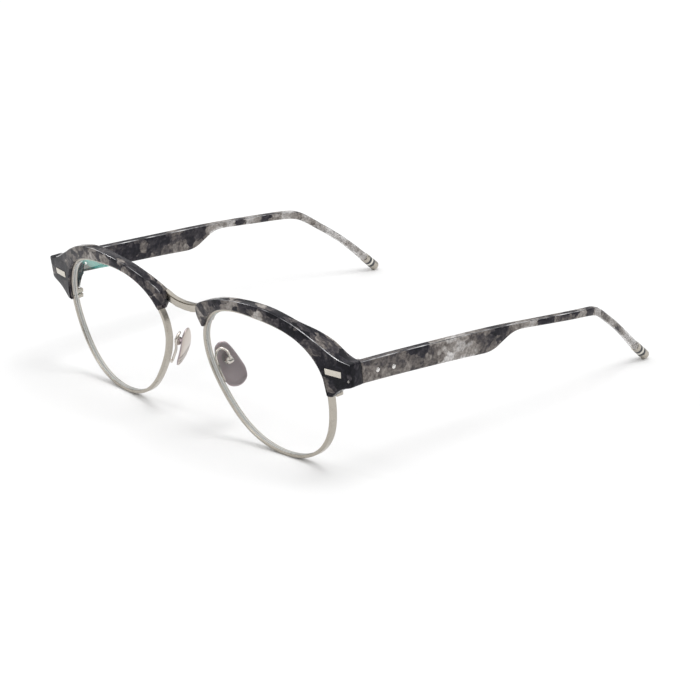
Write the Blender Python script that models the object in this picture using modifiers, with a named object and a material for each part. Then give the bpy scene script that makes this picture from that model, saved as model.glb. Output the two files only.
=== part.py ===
"""Half rim eyeglasses: acetate brows over metal eyewires, with screwed five-barrel hinges.

X runs across the wearer's face (+X is the wearer's left), the front faces -Y, the temples run back
along +Y and +Z is up. The glasses stand on the bottoms of the rims and on the temple tips. Sizes are
in millimetres, and MM turns them into metres as each mesh is made. Every piece is made for the
wearer's left, and its twin on the right is that piece mirrored.
"""

import math

import bmesh
import bpy
from mathutils import Matrix, Vector

MM = 0.001
NAME = "half_rim_eyeglasses"

# Clearances: between fixed neighbours, and round pins and other small parts.
GAP = 0.3
FINE_GAP = 0.15
WELD = 0.0005

# The origin is the middle of the glasses' footprint, this far behind the rims' lowest points.
ORIGIN_BEHIND_RIMS = 68.3

# Eyewire: its middle line is a smooth closed curve through these radii, one every 30 degrees, from
# the temporal side up over the top to the nose and back underneath.
EYE_RADII = (24.7, 25.4, 24.0, 22.9, 25.5, 27.8, 25.5, 22.9, 23.5, 24.9, 26.3, 25.5)
EYE_X = 35.6
RIM_THICK = 1.1
RIM_DEPTH = 2.3
RIM_HALF = RIM_THICK / 2
GROOVE_DEEP = 0.45
RIM_SIDES = 60

# The two lugs that close the rim's split, and the screw through them, as (x, y).
LUG_LOW = 27.2
LUG_HIGH = 30.4
LOCK_SCREW = (61.6, 0.1)

# The front: one curved lens surface each side, tilted and wrapped, flat at the end piece.
FRONT_Y = -6.7
TILT = math.tan(math.radians(12))
WRAP = math.tan(math.radians(4.4))
LENS_CURVE_X = 131
LENS_CURVE_Z = 357
FLAT_FROM = 22.4
FLAT_SLOPE = 0.2

# Brow.
BROW_LIP = 1.0
BROW_DEPTH = 4.0
BROW_LOW = (0.1, 4, 153)
BROW_EDGE = 0.55
BROW_NOSE = ((10.4, 37.9), (9.4, 39.4), (8.2, 41.6), (8.0, 43.8), (8.8, 45.7), (10.6, 46.9))
BROW_TOP = ((14, 48.5), (18, 50.0), (22, 51.2), (27, 52.1), (31.5, 52.6), (36, 52.8), (40.5, 52.6),
            (45, 51.8), (50, 50.3), (54.5, 48.2), (58, 46.1), (61, 44.3), (63.5, 42.8), (66.5, 41.4))
BROW_END = ((70.5, 40.6), (70.5, 33.2), (69.4, 32.4), (66.5, 31.3), (64.4, 29.9), (62.9, 28.4),
            (61.6, 27.2))

# Metal inlay in the brow's front.
PLAQUE_THICK = 0.7
PLAQUE_PROUD = 0.12

# End piece and hinge. The butt is where the temple meets the brow; it leans forward at the top.
END_X = 70.5
BUTT_Y = 1.1
BUTT_Z = 37.0
BUTT_LEAN = math.tan(math.radians(8))
HINGE = (67.0, 3.0)
HINGE_LOW = 33.9
KNUCKLES = 5
KNUCKLE_HIGH = 0.92
KNUCKLE_PITCH = KNUCKLE_HIGH + FINE_GAP
HINGE_HIGH = HINGE_LOW + KNUCKLES * KNUCKLE_PITCH - FINE_GAP
BARREL_R = 1.25
SCREW_R = 0.5
LEAF_THICK = 0.8
LEAF_Y = 0.9
LEAF_X = (61.2, 66.3)

# Temple, seen from the side as (y, z), and from above as (y, x of its outer face).
TEMPLE_TOP = ((12, 39.6), (23, 38.8), (44, 37.2), (65, 35.5), (80, 33.9), (95, 32.2), (106, 30.9),
              (111.4, 30.0), (115.2, 28.2), (120, 25.0), (131, 17.2))
TEMPLE_LOW = ((131, 14.3), (120, 22.1), (115.5, 25.0), (111.6, 26.9), (106, 28.1), (95, 29.5),
              (82, 31.2), (75, 32.1), (71.5, 32.2), (68.5, 31.6), (65, 30.1), (61.5, 28.6),
              (58, 28.1), (54, 28.4), (44, 29.4), (23, 31.2), (12, 32.1))
TEMPLE_OUTER = ((0, 70.5), (30, 70.8), (60, 71.5), (90, 72.5), (108, 72.3), (122, 69.8), (134, 67.2),
                (143, 66.1), (152, 65.9))
TEMPLE_THICK = ((0, 2.8), (55, 2.8), (75, 2.6), (152, 2.6))
TEMPLE_EDGE = 0.7
TEMPLE_SLICES = (16, 32, 48, 60, 72, 84, 96, 106, 112, 117, 122, 127, 132, 137)
BUTT_TOP_Z = 40.4
BUTT_LOW_Z = 33.0

# Tip: a ring and a cap on the end of the temple, lying on the floor by the cap's end.
TIP_Y = 142.2
TIP_SLOPE = math.radians(40)
TIP_HALF = 1.45
RING_LONG = 1.2
CAP_LONG = 6.2
CAP_R = 1.75
CAP_BORE_R = 0.9
CAP_BORE_DEEP = 3.6
CAP_EDGE = 0.35

# Core wire inside the temple, as (y, z) along its middle.
CORE_PATH = ((3.2, 38.2), (20, 37.3), (45, 35.2), (65, 33.9), (73, 33.3), (95, 30.85), (106, 29.5),
             (111.5, 28.3), (116, 26.2), (125, 20.1), (133, 13.98))
CORE_HIGH = 1.2
CORE_THICK = 0.8

# Nose pad: middle, direction of its long axis, and direction across it.
PAD_CENTRE = Vector((10.4, 2.2, 22.7))
PAD_ALONG = Vector((-0.412, -0.2195, 0.8844)).normalized()
PAD_ACROSS = Vector((0.3092, 0.8762, 0.3631)).normalized()
PAD_OUTLINE = ((0, 7.8), (2.1, 6.8), (3.2, 3.6), (3.9, -0.5), (4.1, -3.6), (3.0, -6.6), (0, -7.8),
               (-3.0, -6.6), (-4.1, -3.6), (-3.9, -0.5), (-3.2, 3.6), (-2.1, 6.8))
PAD_THICK = 1.2
PAD_BOX = (1.4, 2.35)
PAD_ARM_PATH = ((12.5, -1.7, 18.4), (11.2, -2.0, 20.7), (10.1, -2.2, 23.1), (9.5, -2.65, 25.6),
                (9.3, -2.25, 27.5), (9.7, -1.0, 28.5), (10.8, 0.2, 28.0), (12.0, 0.55, 26.9))

# Screws that hold the brow, as angles round the eyewire.
BROW_SCREW_ANGLES = (57, 122)

MATERIALS = {
    "acetate_front": ((0.045, 0.043, 0.050, 1), 0.12, 0.0),
    "acetate_temple": ((0.20, 0.18, 0.18, 1), 0.14, 0.0),
    "satin_metal": ((0.74, 0.71, 0.66, 1), 0.28, 1.0),
    "inlay_metal": ((0.80, 0.77, 0.70, 1), 0.35, 1.0),
    "screw_steel": ((0.62, 0.61, 0.60, 1), 0.25, 1.0),
    "pad_titanium": ((0.60, 0.56, 0.54, 1), 0.40, 0.6),
    "demo_lens": ((0.93, 0.97, 0.96, 0.25), 0.03, 0.0),
    "ring_enamel": ((0.82, 0.79, 0.71, 1), 0.30, 0.0),
    "cap_enamel": ((0.07, 0.07, 0.08, 1), 0.25, 0.0),
}


# ------------------------------------------------------------------------------ scene

def clear_scene():
    for obj in list(bpy.data.objects):
        bpy.data.objects.remove(obj)


def new_collection(name):
    collection = bpy.data.collections.new(name)
    bpy.context.scene.collection.children.link(collection)
    return collection


def make_material(name):
    colour, roughness, metallic = MATERIALS[name]
    material = bpy.data.materials.new(name)
    material.use_nodes = True
    shader = material.node_tree.nodes["Principled BSDF"]
    shader.inputs["Base Color"].default_value = colour
    shader.inputs["Alpha"].default_value = colour[3]
    shader.inputs["Roughness"].default_value = roughness
    shader.inputs["Metallic"].default_value = metallic
    material.diffuse_color = colour
    return material


def new_empty(name, place, parent):
    empty = bpy.data.objects.new(name, None)
    empty.empty_display_size = 5 * MM
    empty.location = Vector(place) * MM
    empty.parent = parent
    parts.objects.link(empty)
    return empty


# ------------------------------------------------------------------------------ curves and outlines

def smooth(points, steps, closed=False):
    """Points along a smooth curve through the given ones, with this many steps to each span."""
    count = len(points)
    result = []
    for span in range(count if closed else count - 1):
        corners = []
        for offset in (-1, 0, 1, 2):
            index = span + offset
            corners.append(points[index % count if closed else min(max(index, 0), count - 1)])
        for step in range(steps):
            t = step / steps
            weights = (-t + 2 * t**2 - t**3, 2 - 5 * t**2 + 3 * t**3, t + 4 * t**2 - 3 * t**3, -t**2 + t**3)
            result.append(tuple(sum(w * c[axis] for w, c in zip(weights, corners)) / 2
                                for axis in range(len(points[0]))))
    if not closed:
        result.append(tuple(points[-1]))
    return result


def glide(points, at):
    """The smooth value at a place along (place, value) points."""
    if at <= points[0][0]:
        return points[0][1]
    if at >= points[-1][0]:
        return points[-1][1]
    slopes = [0.0]
    for (x0, y0), (x2, y2) in zip(points, points[2:]):
        slopes.append((y2 - y0) / (x2 - x0))
    slopes.append(slopes[-1])
    for index in range(len(points) - 1):
        (x0, y0), (x1, y1) = points[index], points[index + 1]
        if at <= x1:
            long = x1 - x0
            t = (at - x0) / long
            rise = (3 - 2 * t) * t**2
            return (y0 + (y1 - y0) * rise + long * slopes[index] * t * (1 - t)**2
                    - long * slopes[index + 1] * t**2 * (1 - t))
    return points[-1][1]


def ramp(value, start, end):
    """0 before start, 1 after end, and a smooth rise between."""
    t = min(max((value - start) / (end - start), 0), 1)
    return t * t * (3 - 2 * t)


def ribbon(path, half):
    """The closed outline that runs half a width to each side of a flat path."""
    left, right = [], []
    for index, (u, v) in enumerate(path):
        before = path[max(index - 1, 0)]
        after = path[min(index + 1, len(path) - 1)]
        along = Vector((after[0] - before[0], after[1] - before[1])).normalized()
        left.append((u - half * along.y, v + half * along.x))
        right.append((u + half * along.y, v - half * along.x))
    return left + right[::-1]


# ------------------------------------------------------------------------------ solids

def put(name, mesh, place):
    """An object of this mesh, each point moved to place(point) and turned into metres."""
    for vertex in mesh.vertices:
        vertex.co = Vector(place(vertex.co)) * MM
    bm = bmesh.new()
    bm.from_mesh(mesh)
    bmesh.ops.recalc_face_normals(bm, faces=bm.faces)
    bm.to_mesh(mesh)
    bm.free()
    return bpy.data.objects.new(name, mesh)


def mesh_from_curve(name, curve):
    """The closed mesh of a curve, its loose caps welded on."""
    source = bpy.data.objects.new(name, curve)
    bpy.context.scene.collection.objects.link(source)
    graph = bpy.context.evaluated_depsgraph_get()
    mesh = bpy.data.meshes.new_from_object(source.evaluated_get(graph))
    bpy.data.objects.remove(source)
    bpy.data.curves.remove(curve)
    bm = bmesh.new()
    bm.from_mesh(mesh)
    bmesh.ops.remove_doubles(bm, verts=bm.verts, dist=WELD)
    bm.to_mesh(mesh)
    bm.free()
    return mesh


def add_spline(curve, points, closed):
    spline = curve.splines.new("POLY")
    spline.points.add(len(points) - 1)
    for target, point in zip(spline.points, points):
        target.co = (*point, 1)
    spline.use_cyclic_u = closed


def slice_caps(mesh, slices):
    """Divides the flat ends of an extruded outline at each u, so that they can follow a curve."""
    bm = bmesh.new()
    bm.from_mesh(mesh)
    for side in (-1, 1):
        cap = [face for face in bm.faces if face.normal.z * side > 0.99]
        bmesh.ops.dissolve_faces(bm, faces=cap, use_verts=False)
    for u in slices:
        bmesh.ops.bisect_plane(bm, geom=bm.verts[:] + bm.edges[:] + bm.faces[:], dist=WELD,
                               plane_co=(u, 0, 0), plane_no=(1, 0, 0))
    bm.to_mesh(mesh)
    bm.free()


def plate(name, outline, depth, place, slices=()):
    """A flat outline (u, v) given a depth; place(u, v, w) says where a point goes, w from 0 to depth."""
    curve = bpy.data.curves.new(name, "CURVE")
    curve.dimensions = "2D"
    curve.fill_mode = "BOTH"
    curve.extrude = depth / 2
    add_spline(curve, [(u, v, 0) for u, v in outline], True)
    mesh = mesh_from_curve(name, curve)
    if slices:
        slice_caps(mesh, slices)
    return put(name, mesh, lambda co: place(co.x, co.y, co.z + depth / 2))


def wire(name, points, radius, resolution=1):
    """A round wire through points in space."""
    curve = bpy.data.curves.new(name, "CURVE")
    curve.dimensions = "3D"
    curve.bevel_depth = radius
    curve.bevel_resolution = resolution
    curve.use_fill_caps = True
    add_spline(curve, points, False)
    return put(name, mesh_from_curve(name, curve), lambda co: co)


def box(name, low, high):
    mesh = bpy.data.meshes.new(name)
    bm = bmesh.new()
    bmesh.ops.create_cube(bm, size=1)
    bm.to_mesh(mesh)
    bm.free()
    return put(name, mesh, lambda co: [a + (b - a) * (c + 0.5) for a, b, c in zip(low, high, co)])


def rod(name, start, end, radius, sides=12):
    """A round bar from one point to another."""
    start, end = Vector(start), Vector(end)
    mesh = bpy.data.meshes.new(name)
    bm = bmesh.new()
    bmesh.ops.create_cone(bm, cap_ends=True, segments=sides, radius1=radius, radius2=radius,
                          depth=(end - start).length)
    bm.to_mesh(mesh)
    bm.free()
    turn = (end - start).to_track_quat("Z", "Y")
    return put(name, mesh, lambda co: turn @ co + (start + end) / 2)


def turned(name, profile, base, direction, sides=16):
    """A turned piece: (radius, height) points from the top down its outer side, about a direction."""
    mesh = bpy.data.meshes.new(name)
    bm = bmesh.new()
    ring = [bm.verts.new((radius, 0, height)) for radius, height in profile]
    for one, other in zip(ring, ring[1:] + ring[:1]):
        if one.co.x > 0 or other.co.x > 0:
            bm.edges.new((one, other))
    bm.to_mesh(mesh)
    bm.free()
    obj = bpy.data.objects.new(name, mesh)
    screw = obj.modifiers.new("turn", "SCREW")
    screw.steps = sides
    screw.render_steps = sides
    screw.use_merge_vertices = True
    screw.merge_threshold = 0.0001
    bpy.context.scene.collection.objects.link(obj)
    graph = bpy.context.evaluated_depsgraph_get()
    whole = bpy.data.meshes.new_from_object(obj.evaluated_get(graph))
    bpy.data.objects.remove(obj)
    bpy.data.meshes.remove(mesh)
    turn = Vector(direction).to_track_quat("Z", "Y")
    return put(name, whole, lambda co: turn @ co + Vector(base))


def boolean(obj, other, operation):
    """Cuts or joins another solid, which is parented to the piece and so moves with it."""
    modifier = obj.modifiers.new(f"{operation.lower()}_{len(obj.modifiers)}", "BOOLEAN")
    modifier.operation = operation
    modifier.object = other
    cutters.objects.link(other)
    other.parent = obj
    other.hide_render = True
    other.display_type = "WIRE"


def cut(obj, *others):
    for other in others:
        boolean(obj, other, "DIFFERENCE")


def join(obj, *others):
    for other in others:
        boolean(obj, other, "UNION")


def round_edges(obj, width, segments=1, angle=40):
    modifier = obj.modifiers.new("round_edges", "BEVEL")
    modifier.width = width * MM
    modifier.segments = segments
    modifier.limit_method = "ANGLE"
    modifier.angle_limit = math.radians(angle)


def finish(obj, material, parent, pivot=(0, 0, 0)):
    """Gives a piece its material, its collection and its parent, whose place is pivot."""
    obj.data.materials.clear()
    obj.data.materials.append(bpy.data.materials[material])
    obj.data.shade_smooth()
    obj.data.set_sharp_from_angle(angle=math.radians(35))
    obj.parent = parent
    obj.location = -Vector(pivot) * MM
    parts.objects.link(obj)


def add_twin(obj, name, parent, pivot):
    """The wearer's right-hand copy of a finished left-hand piece."""
    graph = bpy.context.evaluated_depsgraph_get()
    mesh = bpy.data.meshes.new_from_object(obj.evaluated_get(graph))
    mesh.transform(Matrix.Scale(-1, 4, (1, 0, 0)))
    mesh.flip_normals()
    finish(bpy.data.objects.new(name, mesh), obj.data.materials[0].name, parent, pivot)


# ------------------------------------------------------------------------------ the front's shape

def eye_radius(degrees):
    count = len(EYE_RADII)
    total = 0
    for index, radius in enumerate(EYE_RADII):
        turn = math.radians(degrees) - 2 * math.pi * index / count
        half = math.remainder(turn, 2 * math.pi) / 2
        total += radius if abs(half) < 1e-9 else radius * math.sin(count * half) / math.tan(half) / count
    return total


EYE_Z = RIM_HALF - min(eye_radius(angle) * math.sin(math.radians(angle)) for angle in range(240, 300))


def eye_point(degrees, out=0):
    """A point of the eyewire's middle line as (x, z), or one further out from the lens."""
    reach = eye_radius(degrees) + out
    angle = math.radians(degrees)
    return EYE_X + reach * math.cos(angle), EYE_Z + reach * math.sin(angle)


def eye_outline(out, sides=RIM_SIDES):
    return [eye_point(360 * side / sides, out) for side in range(sides)]


def front_y(x, z):
    """How far forward the rims' front lies at (x, z)."""
    across = x - EYE_X
    curved = min(across, FLAT_FROM)
    up = z - EYE_Z
    return (FRONT_Y + WRAP * curved + curved**2 / (2 * LENS_CURVE_X) + FLAT_SLOPE * (across - curved)
            - TILT * up + up**2 / (2 * LENS_CURVE_Z))


def butt_y(z):
    return BUTT_Y + (BUTT_Z - z) * BUTT_LEAN


def butt_block(name, start, end):
    """A block between two leaning planes, this far behind the butt."""
    return plate(name, ((start, 28), (end, 28), (end, 45), (start, 45)), 16,
                 lambda y, z, w: (58 + w, butt_y(z) + y, z))


def on_front(start):
    """A place function: depth w counts back from start behind the rims' front."""
    return lambda x, z, w: (x, front_y(x, z) + start + w, z)


# ------------------------------------------------------------------------------ front pieces

def hoop(name, section):
    """A ring round the eye: its section's points are (out from the middle line, depth from the front)."""
    profile = bpy.data.curves.new("section", "CURVE")
    profile.dimensions = "2D"
    add_spline(profile, [(-out, depth, 0) for out, depth in section], True)
    profile_object = bpy.data.objects.new("section", profile)
    bpy.context.scene.collection.objects.link(profile_object)
    ring = bpy.data.curves.new(name, "CURVE")
    ring.dimensions = "2D"
    ring.fill_mode = "NONE"
    ring.bevel_mode = "OBJECT"
    ring.bevel_object = profile_object
    add_spline(ring, [(x, z, 0) for x, z in eye_outline(0)], True)
    mesh = mesh_from_curve(name, ring)
    bpy.data.objects.remove(profile_object)
    return put(name, mesh, lambda co: (co.x, front_y(co.x, co.y) + co.z, co.y))


def make_eyewire():
    """A grooved ring, with two lugs at its split and two tabs for the brow's screws."""
    corner = 0.25
    eyewire = hoop("eyewire_left", (
        (RIM_HALF, corner), (RIM_HALF - corner, 0), (-RIM_HALF, 0), (GROOVE_DEEP - RIM_HALF, RIM_DEPTH / 2),
        (-RIM_HALF, RIM_DEPTH), (RIM_HALF - corner, RIM_DEPTH), (RIM_HALF, RIM_DEPTH - corner)))
    for index, angle in enumerate(BROW_SCREW_ANGLES):
        join(eyewire, tab_solid(f"tab_{index}", angle, 0))
        cut(eyewire, brow_screw_rod(f"tab_hole_{index}", angle, SCREW_R + FINE_GAP, 1.4, 6))
    join(eyewire, box("lugs", (59.9, -1.5, LUG_LOW), (62.6, 1.3, LUG_HIGH)))
    middle = (LUG_LOW + LUG_HIGH) / 2
    cut(eyewire, box("rim_split", (58.5, -5, middle - FINE_GAP), (65, 4, middle + FINE_GAP)))
    cut(eyewire, rod("lug_hole", (*LOCK_SCREW, 24), (*LOCK_SCREW, 33), SCREW_R + FINE_GAP))
    return eyewire


def tab_solid(name, angle, grow):
    """A tab soldered on the back of the rim, or with grow the pocket round it."""
    low, high = 0, 3.0 + grow
    side = 1.4 + grow
    turn = math.radians(angle)
    corners = []
    for across, out in ((-side, low), (side, low), (side, high), (-side, high)):
        x, z = eye_point(angle, out)
        corners.append((x - across * math.sin(turn), z + across * math.cos(turn)))
    return plate(name, corners, 5 if grow else 0.9, on_front(2.0 - grow))


def brow_screw_rod(name, angle, radius, start, end):
    x, z = eye_point(angle, 1.9)
    y = front_y(x, z)
    return rod(name, (x, y + start, z), (x, y + end, z), radius)


def make_brow_screws():
    """The round-headed screws that go through the rim's tabs into the brow."""
    head_r, head_high, shank_from, shank_to = 0.9, 0.4, 0.5, 3.25
    long = shank_to - shank_from
    profile = ((0, long + head_high), (head_r * 0.7, long + head_high), (head_r, long + head_high / 2),
               (head_r, long), (SCREW_R, long), (SCREW_R, 0), (0, 0))
    screws = []
    for where, angle in zip(("outer", "inner"), BROW_SCREW_ANGLES):
        x, z = eye_point(angle, 1.9)
        base = (x, front_y(x, z) + shank_from, z)
        screws.append(turned(f"brow_screw_{where}_left", profile, base, (0, 1, 0), 12))
    return screws


def make_brow():
    """The acetate brow and end piece, grooved underneath for the rim."""
    out, first, last = BROW_LOW
    steps = 26
    low_edge = [eye_point(first + (last - first) * step / steps, out) for step in range(steps + 1)]
    nose = smooth(BROW_NOSE, 2)
    top = smooth((BROW_NOSE[-1],) + BROW_TOP + ((END_X, 40.6),), 2)[1:-1]
    outline = low_edge + nose + top + list(BROW_END)

    def place(x, z, w):
        front = front_y(x, z) - BROW_LIP
        into_end = ramp(x, 49, 62.5) * ramp(z, 29, 33)
        back = (1 - into_end) * (front + BROW_DEPTH) + into_end * (butt_y(z) + 1.5)
        return x, front + (back - front) * w, z

    brow = plate("brow_left", outline, 1, place, range(12, 70, 4))
    round_edges(brow, BROW_EDGE)
    cut(brow, butt_block("brow_butt", 0, 9))
    over = RIM_HALF + GAP
    cut(brow, hoop("rim_groove", ((over, -GAP), (-3, -GAP), (-3, 12), (over, 12))))
    cut(brow, bridge_solid("bridge_pocket", GAP))
    for index, angle in enumerate(BROW_SCREW_ANGLES):
        cut(brow, tab_solid(f"tab_pocket_{index}", angle, GAP))
        cut(brow, brow_screw_rod(f"brow_screw_hole_{index}", angle, SCREW_R + FINE_GAP, 0.2, 6))
    cut(brow, box("lug_pocket", (59, -1.8, 24), (62.9, 3, LUG_HIGH + 0.9)))
    cut(brow, box("hinge_pocket", (LEAF_X[0] - GAP, LEAF_Y - GAP, HINGE_LOW - GAP),
                  (HINGE[0] + BARREL_R + GAP, 6, HINGE_HIGH + 0.7)))
    cut(brow, plaque_solid("plaque_pocket", FINE_GAP))
    cut(brow, rod("end_rivet_hole", *end_rivet_line(), 0.55 + FINE_GAP, 12))
    return brow


def plaque_solid(name, grow):
    """The inlay in the brow's front, or with grow its pocket, which opens forwards."""
    corners = ((60.6 - grow, 35.4 - grow), (66.8 + grow, 35.3 - grow), (67.0 + grow, 37.5 + grow),
               (60.6 - grow, 37.5 + grow))
    front = -BROW_LIP - (1 if grow else PLAQUE_PROUD)
    back = -BROW_LIP - PLAQUE_PROUD + PLAQUE_THICK + grow
    return plate(name, corners, back - front, on_front(front))


def make_plaque():
    plaque = plaque_solid("plaque_left", 0)
    round_edges(plaque, 0.12)
    return plaque


def end_rivet_line():
    x, z = 69.3, 34.9
    y = front_y(x, z) - BROW_LIP
    return (x, y - 1.0, z), (x, y + 2.6, z)


def make_end_rivet():
    """The round pin by the inlay, just proud of the brow's front."""
    (x, front_end, z), (_, back_end, _) = end_rivet_line()
    return rod("end_rivet_left", (x, front_end + 0.93, z), (x, back_end - GAP, z), 0.55, 12)


def bridge_solid(name, grow):
    """The bar between the rims, or with grow the pocket round its foot."""
    top = smooth(((0, 43.5), (4.2, 43.9), (8, 45.1), (11.5, 46.1), (13.6, 46.4)), 2)
    low = smooth(((0, 40.7), (3.5, 40.9), (6.3, 41.5), (9, 41.6), (10.8, 40.7)), 2)
    foot = [eye_point(angle, -0.1) for angle in (140, 143, 146, 149)]
    right = ([(x, z - grow) for x, z in low] + [(x + grow, z) for x, z in foot[::-1]]
             + [(x, z + grow) for x, z in top[::-1]])
    outline = right + [(-x, z) for x, z in right[::-1] if x > 0]

    def place(x, z, w):
        near = abs(x)
        into_foot = ramp(near, 6, 10.5)
        middle = -8.0 - TILT * (z - 42.5) * 0.6
        front = (1 - into_foot) * middle + into_foot * (front_y(near, z) + RIM_DEPTH + GAP)
        thick = 2.0 - 0.9 * into_foot
        return x, front - grow + (8 if grow else thick) * w, z

    return plate(name, outline, 1, place, (-12, -9, -6, -3, 0, 3, 6, 9, 12))


def make_bridge():
    bridge = bridge_solid("bridge", 0)
    round_edges(bridge, 0.2)
    line = smooth(((-7.8, 43.9), (-4, 42.85), (0, 42.5), (4, 42.85), (7.8, 43.9)), 3)
    cut(bridge, plate("bridge_line", ribbon(line, 0.16), 2,
                      lambda x, z, w: (x, -8.0 - TILT * (z - 42.5) * 0.6 - 1.7 + w, z)))
    return bridge


def make_lens():
    """A disc pressed from a sphere: its rings of points become the lens's two faces and its V edge."""
    rings, sides = 10, 40
    edge = -RIM_HALF - GAP
    low, high = 0.45, RIM_DEPTH - 0.45
    apex = edge + 0.42
    shape = ((0, low), (0.4, low), (0.75, low), (edge, low), (edge, 0.9), (apex, RIM_DEPTH / 2),
             (edge, 1.4), (edge, high), (0.75, high), (0.4, high), (0, high))
    mesh = bpy.data.meshes.new("lens")
    bm = bmesh.new()
    bmesh.ops.create_uvsphere(bm, u_segments=sides, v_segments=rings, radius=1)
    bm.to_mesh(mesh)
    bm.free()

    def place(co):
        ring = round(math.degrees(math.acos(max(-1, min(1, co.z)))) / 180 * rings)
        reach, depth = shape[ring]
        angle = math.degrees(math.atan2(co.y, co.x))
        if ring in (0, rings):
            x, z = EYE_X, EYE_Z
        elif reach > 0:
            x, z = eye_point(angle, (reach - 1) * eye_radius(angle))
        else:
            x, z = eye_point(angle, reach)
        return x, front_y(x, z) + depth, z

    return put("lens_left", mesh, place)


def make_lock_screw():
    """The screw that closes the rim's split, its head on the upper lug."""
    head_r, head_high = 0.95, 0.4
    long = LUG_HIGH + FINE_GAP - LUG_LOW
    profile = ((0, long + head_high), (head_r * 0.75, long + head_high), (head_r, long + head_high / 2),
               (head_r, long), (SCREW_R, long), (SCREW_R, 0), (0, 0))
    return turned("lock_screw_left", profile, (*LOCK_SCREW, LUG_LOW), (0, 0, 1), 12)


# ------------------------------------------------------------------------------ hinge

def knuckle(name, index, corners, first_degrees):
    """A barrel with one squared-off quarter, as one of the hinge's knuckles."""
    x, y = HINGE
    outline = []
    for step in range(13):
        angle = math.radians(first_degrees + 270 * step / 12)
        outline.append((x + BARREL_R * math.cos(angle), y + BARREL_R * math.sin(angle)))
    low = HINGE_LOW + index * KNUCKLE_PITCH
    return plate(name, outline + corners, KNUCKLE_HIGH, lambda u, v, w: (u, v, low + w))


def hinge_hole(name):
    return rod(name, (*HINGE, 30), (*HINGE, 44), SCREW_R + FINE_GAP, 12)


def make_front_leaf():
    """A plate on the back of the end piece with the odd knuckles."""
    leaf = box("hinge_front_leaf_left", (LEAF_X[0], LEAF_Y, HINGE_LOW),
               (LEAF_X[1], LEAF_Y + LEAF_THICK, HINGE_HIGH))
    x, y = HINGE
    corners = [(x - BARREL_R, LEAF_Y), (x, LEAF_Y)]
    for index in range(0, KNUCKLES, 2):
        join(leaf, knuckle(f"front_knuckle_{index}", index, corners, -90))
    cut(leaf, hinge_hole("front_leaf_hole"))
    return leaf


def make_temple_leaf():
    """A plate on the temple's inner face with the even knuckles."""
    outline = ((4.7, HINGE_LOW + 0.2), (12, 33.8), (16.6, 33.7), (17.6, 34.7), (17.4, 36.0), (16.2, 36.7),
               (12, 37.6), (6.5, HINGE_HIGH - 0.4), (4.7, HINGE_HIGH - 0.2))
    face = temple_inner(10) - GAP
    leaf = plate("hinge_temple_leaf_left", outline, LEAF_THICK,
                 lambda y, z, w: (face - LEAF_THICK + w, y, z))
    for index in range(1, KNUCKLES, 2):
        join(leaf, temple_knuckle(f"temple_knuckle_{index}", index))
    cut(leaf, hinge_hole("temple_leaf_hole"))
    for index, line in enumerate(rivet_lines()):
        cut(leaf, rod(f"leaf_rivet_hole_{index}", *line, 0.55 + FINE_GAP, 12))
    return leaf


def temple_knuckle(name, index):
    """A barrel with a short neck that runs back into the temple's leaf."""
    x, y = HINGE
    outline = []
    for step in range(13):
        angle = math.radians(115 + 310 * step / 12)
        outline.append((x + BARREL_R * math.cos(angle), y + BARREL_R * math.sin(angle)))
    outline += [(x + 0.45, y + 2.5), (x - 0.25, y + 2.5)]
    low = HINGE_LOW + index * KNUCKLE_PITCH
    return plate(name, outline, KNUCKLE_HIGH, lambda u, v, w: (u, v, low + w))


def make_hinge_screw():
    head_r, head_high = 1.05, 0.45
    long = HINGE_HIGH + 0.1 - HINGE_LOW
    profile = ((0, long + head_high), (head_r * 0.8, long + head_high), (head_r, long + head_high / 2),
               (head_r, long), (SCREW_R, long), (SCREW_R, 0), (0, 0))
    return turned("hinge_screw_left", profile, (*HINGE, HINGE_LOW), (0, 0, 1), 12)


# ------------------------------------------------------------------------------ temple

def temple_inner(y):
    return glide(TEMPLE_OUTER, y) - glide(TEMPLE_THICK, y)


def in_temple(y, z, w):
    """A place function: w runs from 0 at the temple's inner face to 1 at its outer face."""
    return temple_inner(y) + glide(TEMPLE_THICK, y) * w, y, z


TIP_AXIS = Vector((0, math.cos(TIP_SLOPE), -math.sin(TIP_SLOPE)))
TIP_LONG = GAP + RING_LONG + GAP + CAP_LONG
TIP_Z = CAP_R * math.cos(TIP_SLOPE) + (TIP_LONG - CAP_EDGE) * math.sin(TIP_SLOPE)


def rivet_lines():
    """Where the two temple rivets run, from inside to outside."""
    return [((65, y, z), (73, y, z)) for y, z in ((8.2, 35.8), (15.2, 35.0))]


def make_temple():
    """The acetate arm: a side outline with rounded edges, curved in towards the ear."""
    over = 1.5
    end = Vector((TIP_Y, TIP_Z)) + Vector((TIP_AXIS.y, TIP_AXIS.z)) * over
    across = Vector((math.sin(TIP_SLOPE), math.cos(TIP_SLOPE))) * TIP_HALF
    top = smooth(((BUTT_Y - over, BUTT_TOP_Z),) + TEMPLE_TOP + (tuple(end + across),), 2)
    low = smooth((tuple(end - across),) + TEMPLE_LOW + ((BUTT_Y - over, BUTT_LOW_Z),), 2)
    temple = plate("temple_left", top + low, 1, in_temple, TEMPLE_SLICES)
    round_edges(temple, TEMPLE_EDGE)
    cut(temple, butt_block("temple_butt", -8, GAP))
    cut(temple, rod("tip_face", tip_base(0), tip_base(6), 5))
    cut(temple, core_solid("core_channel", FINE_GAP))
    cut(temple, rod("hinge_notch", (*HINGE, HINGE_LOW - GAP), (*HINGE, HINGE_HIGH + 0.7),
                    BARREL_R + 0.25, 24))
    for index, (start, end) in enumerate(rivet_lines()):
        cut(temple, rod(f"rivet_hole_{index}", start, end, 0.55 + FINE_GAP, 12))
        face = glide(TEMPLE_OUTER, start[1])
        cut(temple, rod(f"rivet_seat_{index}", (face - 0.55, *start[1:]), end, 1.0 + FINE_GAP))
    return temple


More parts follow.
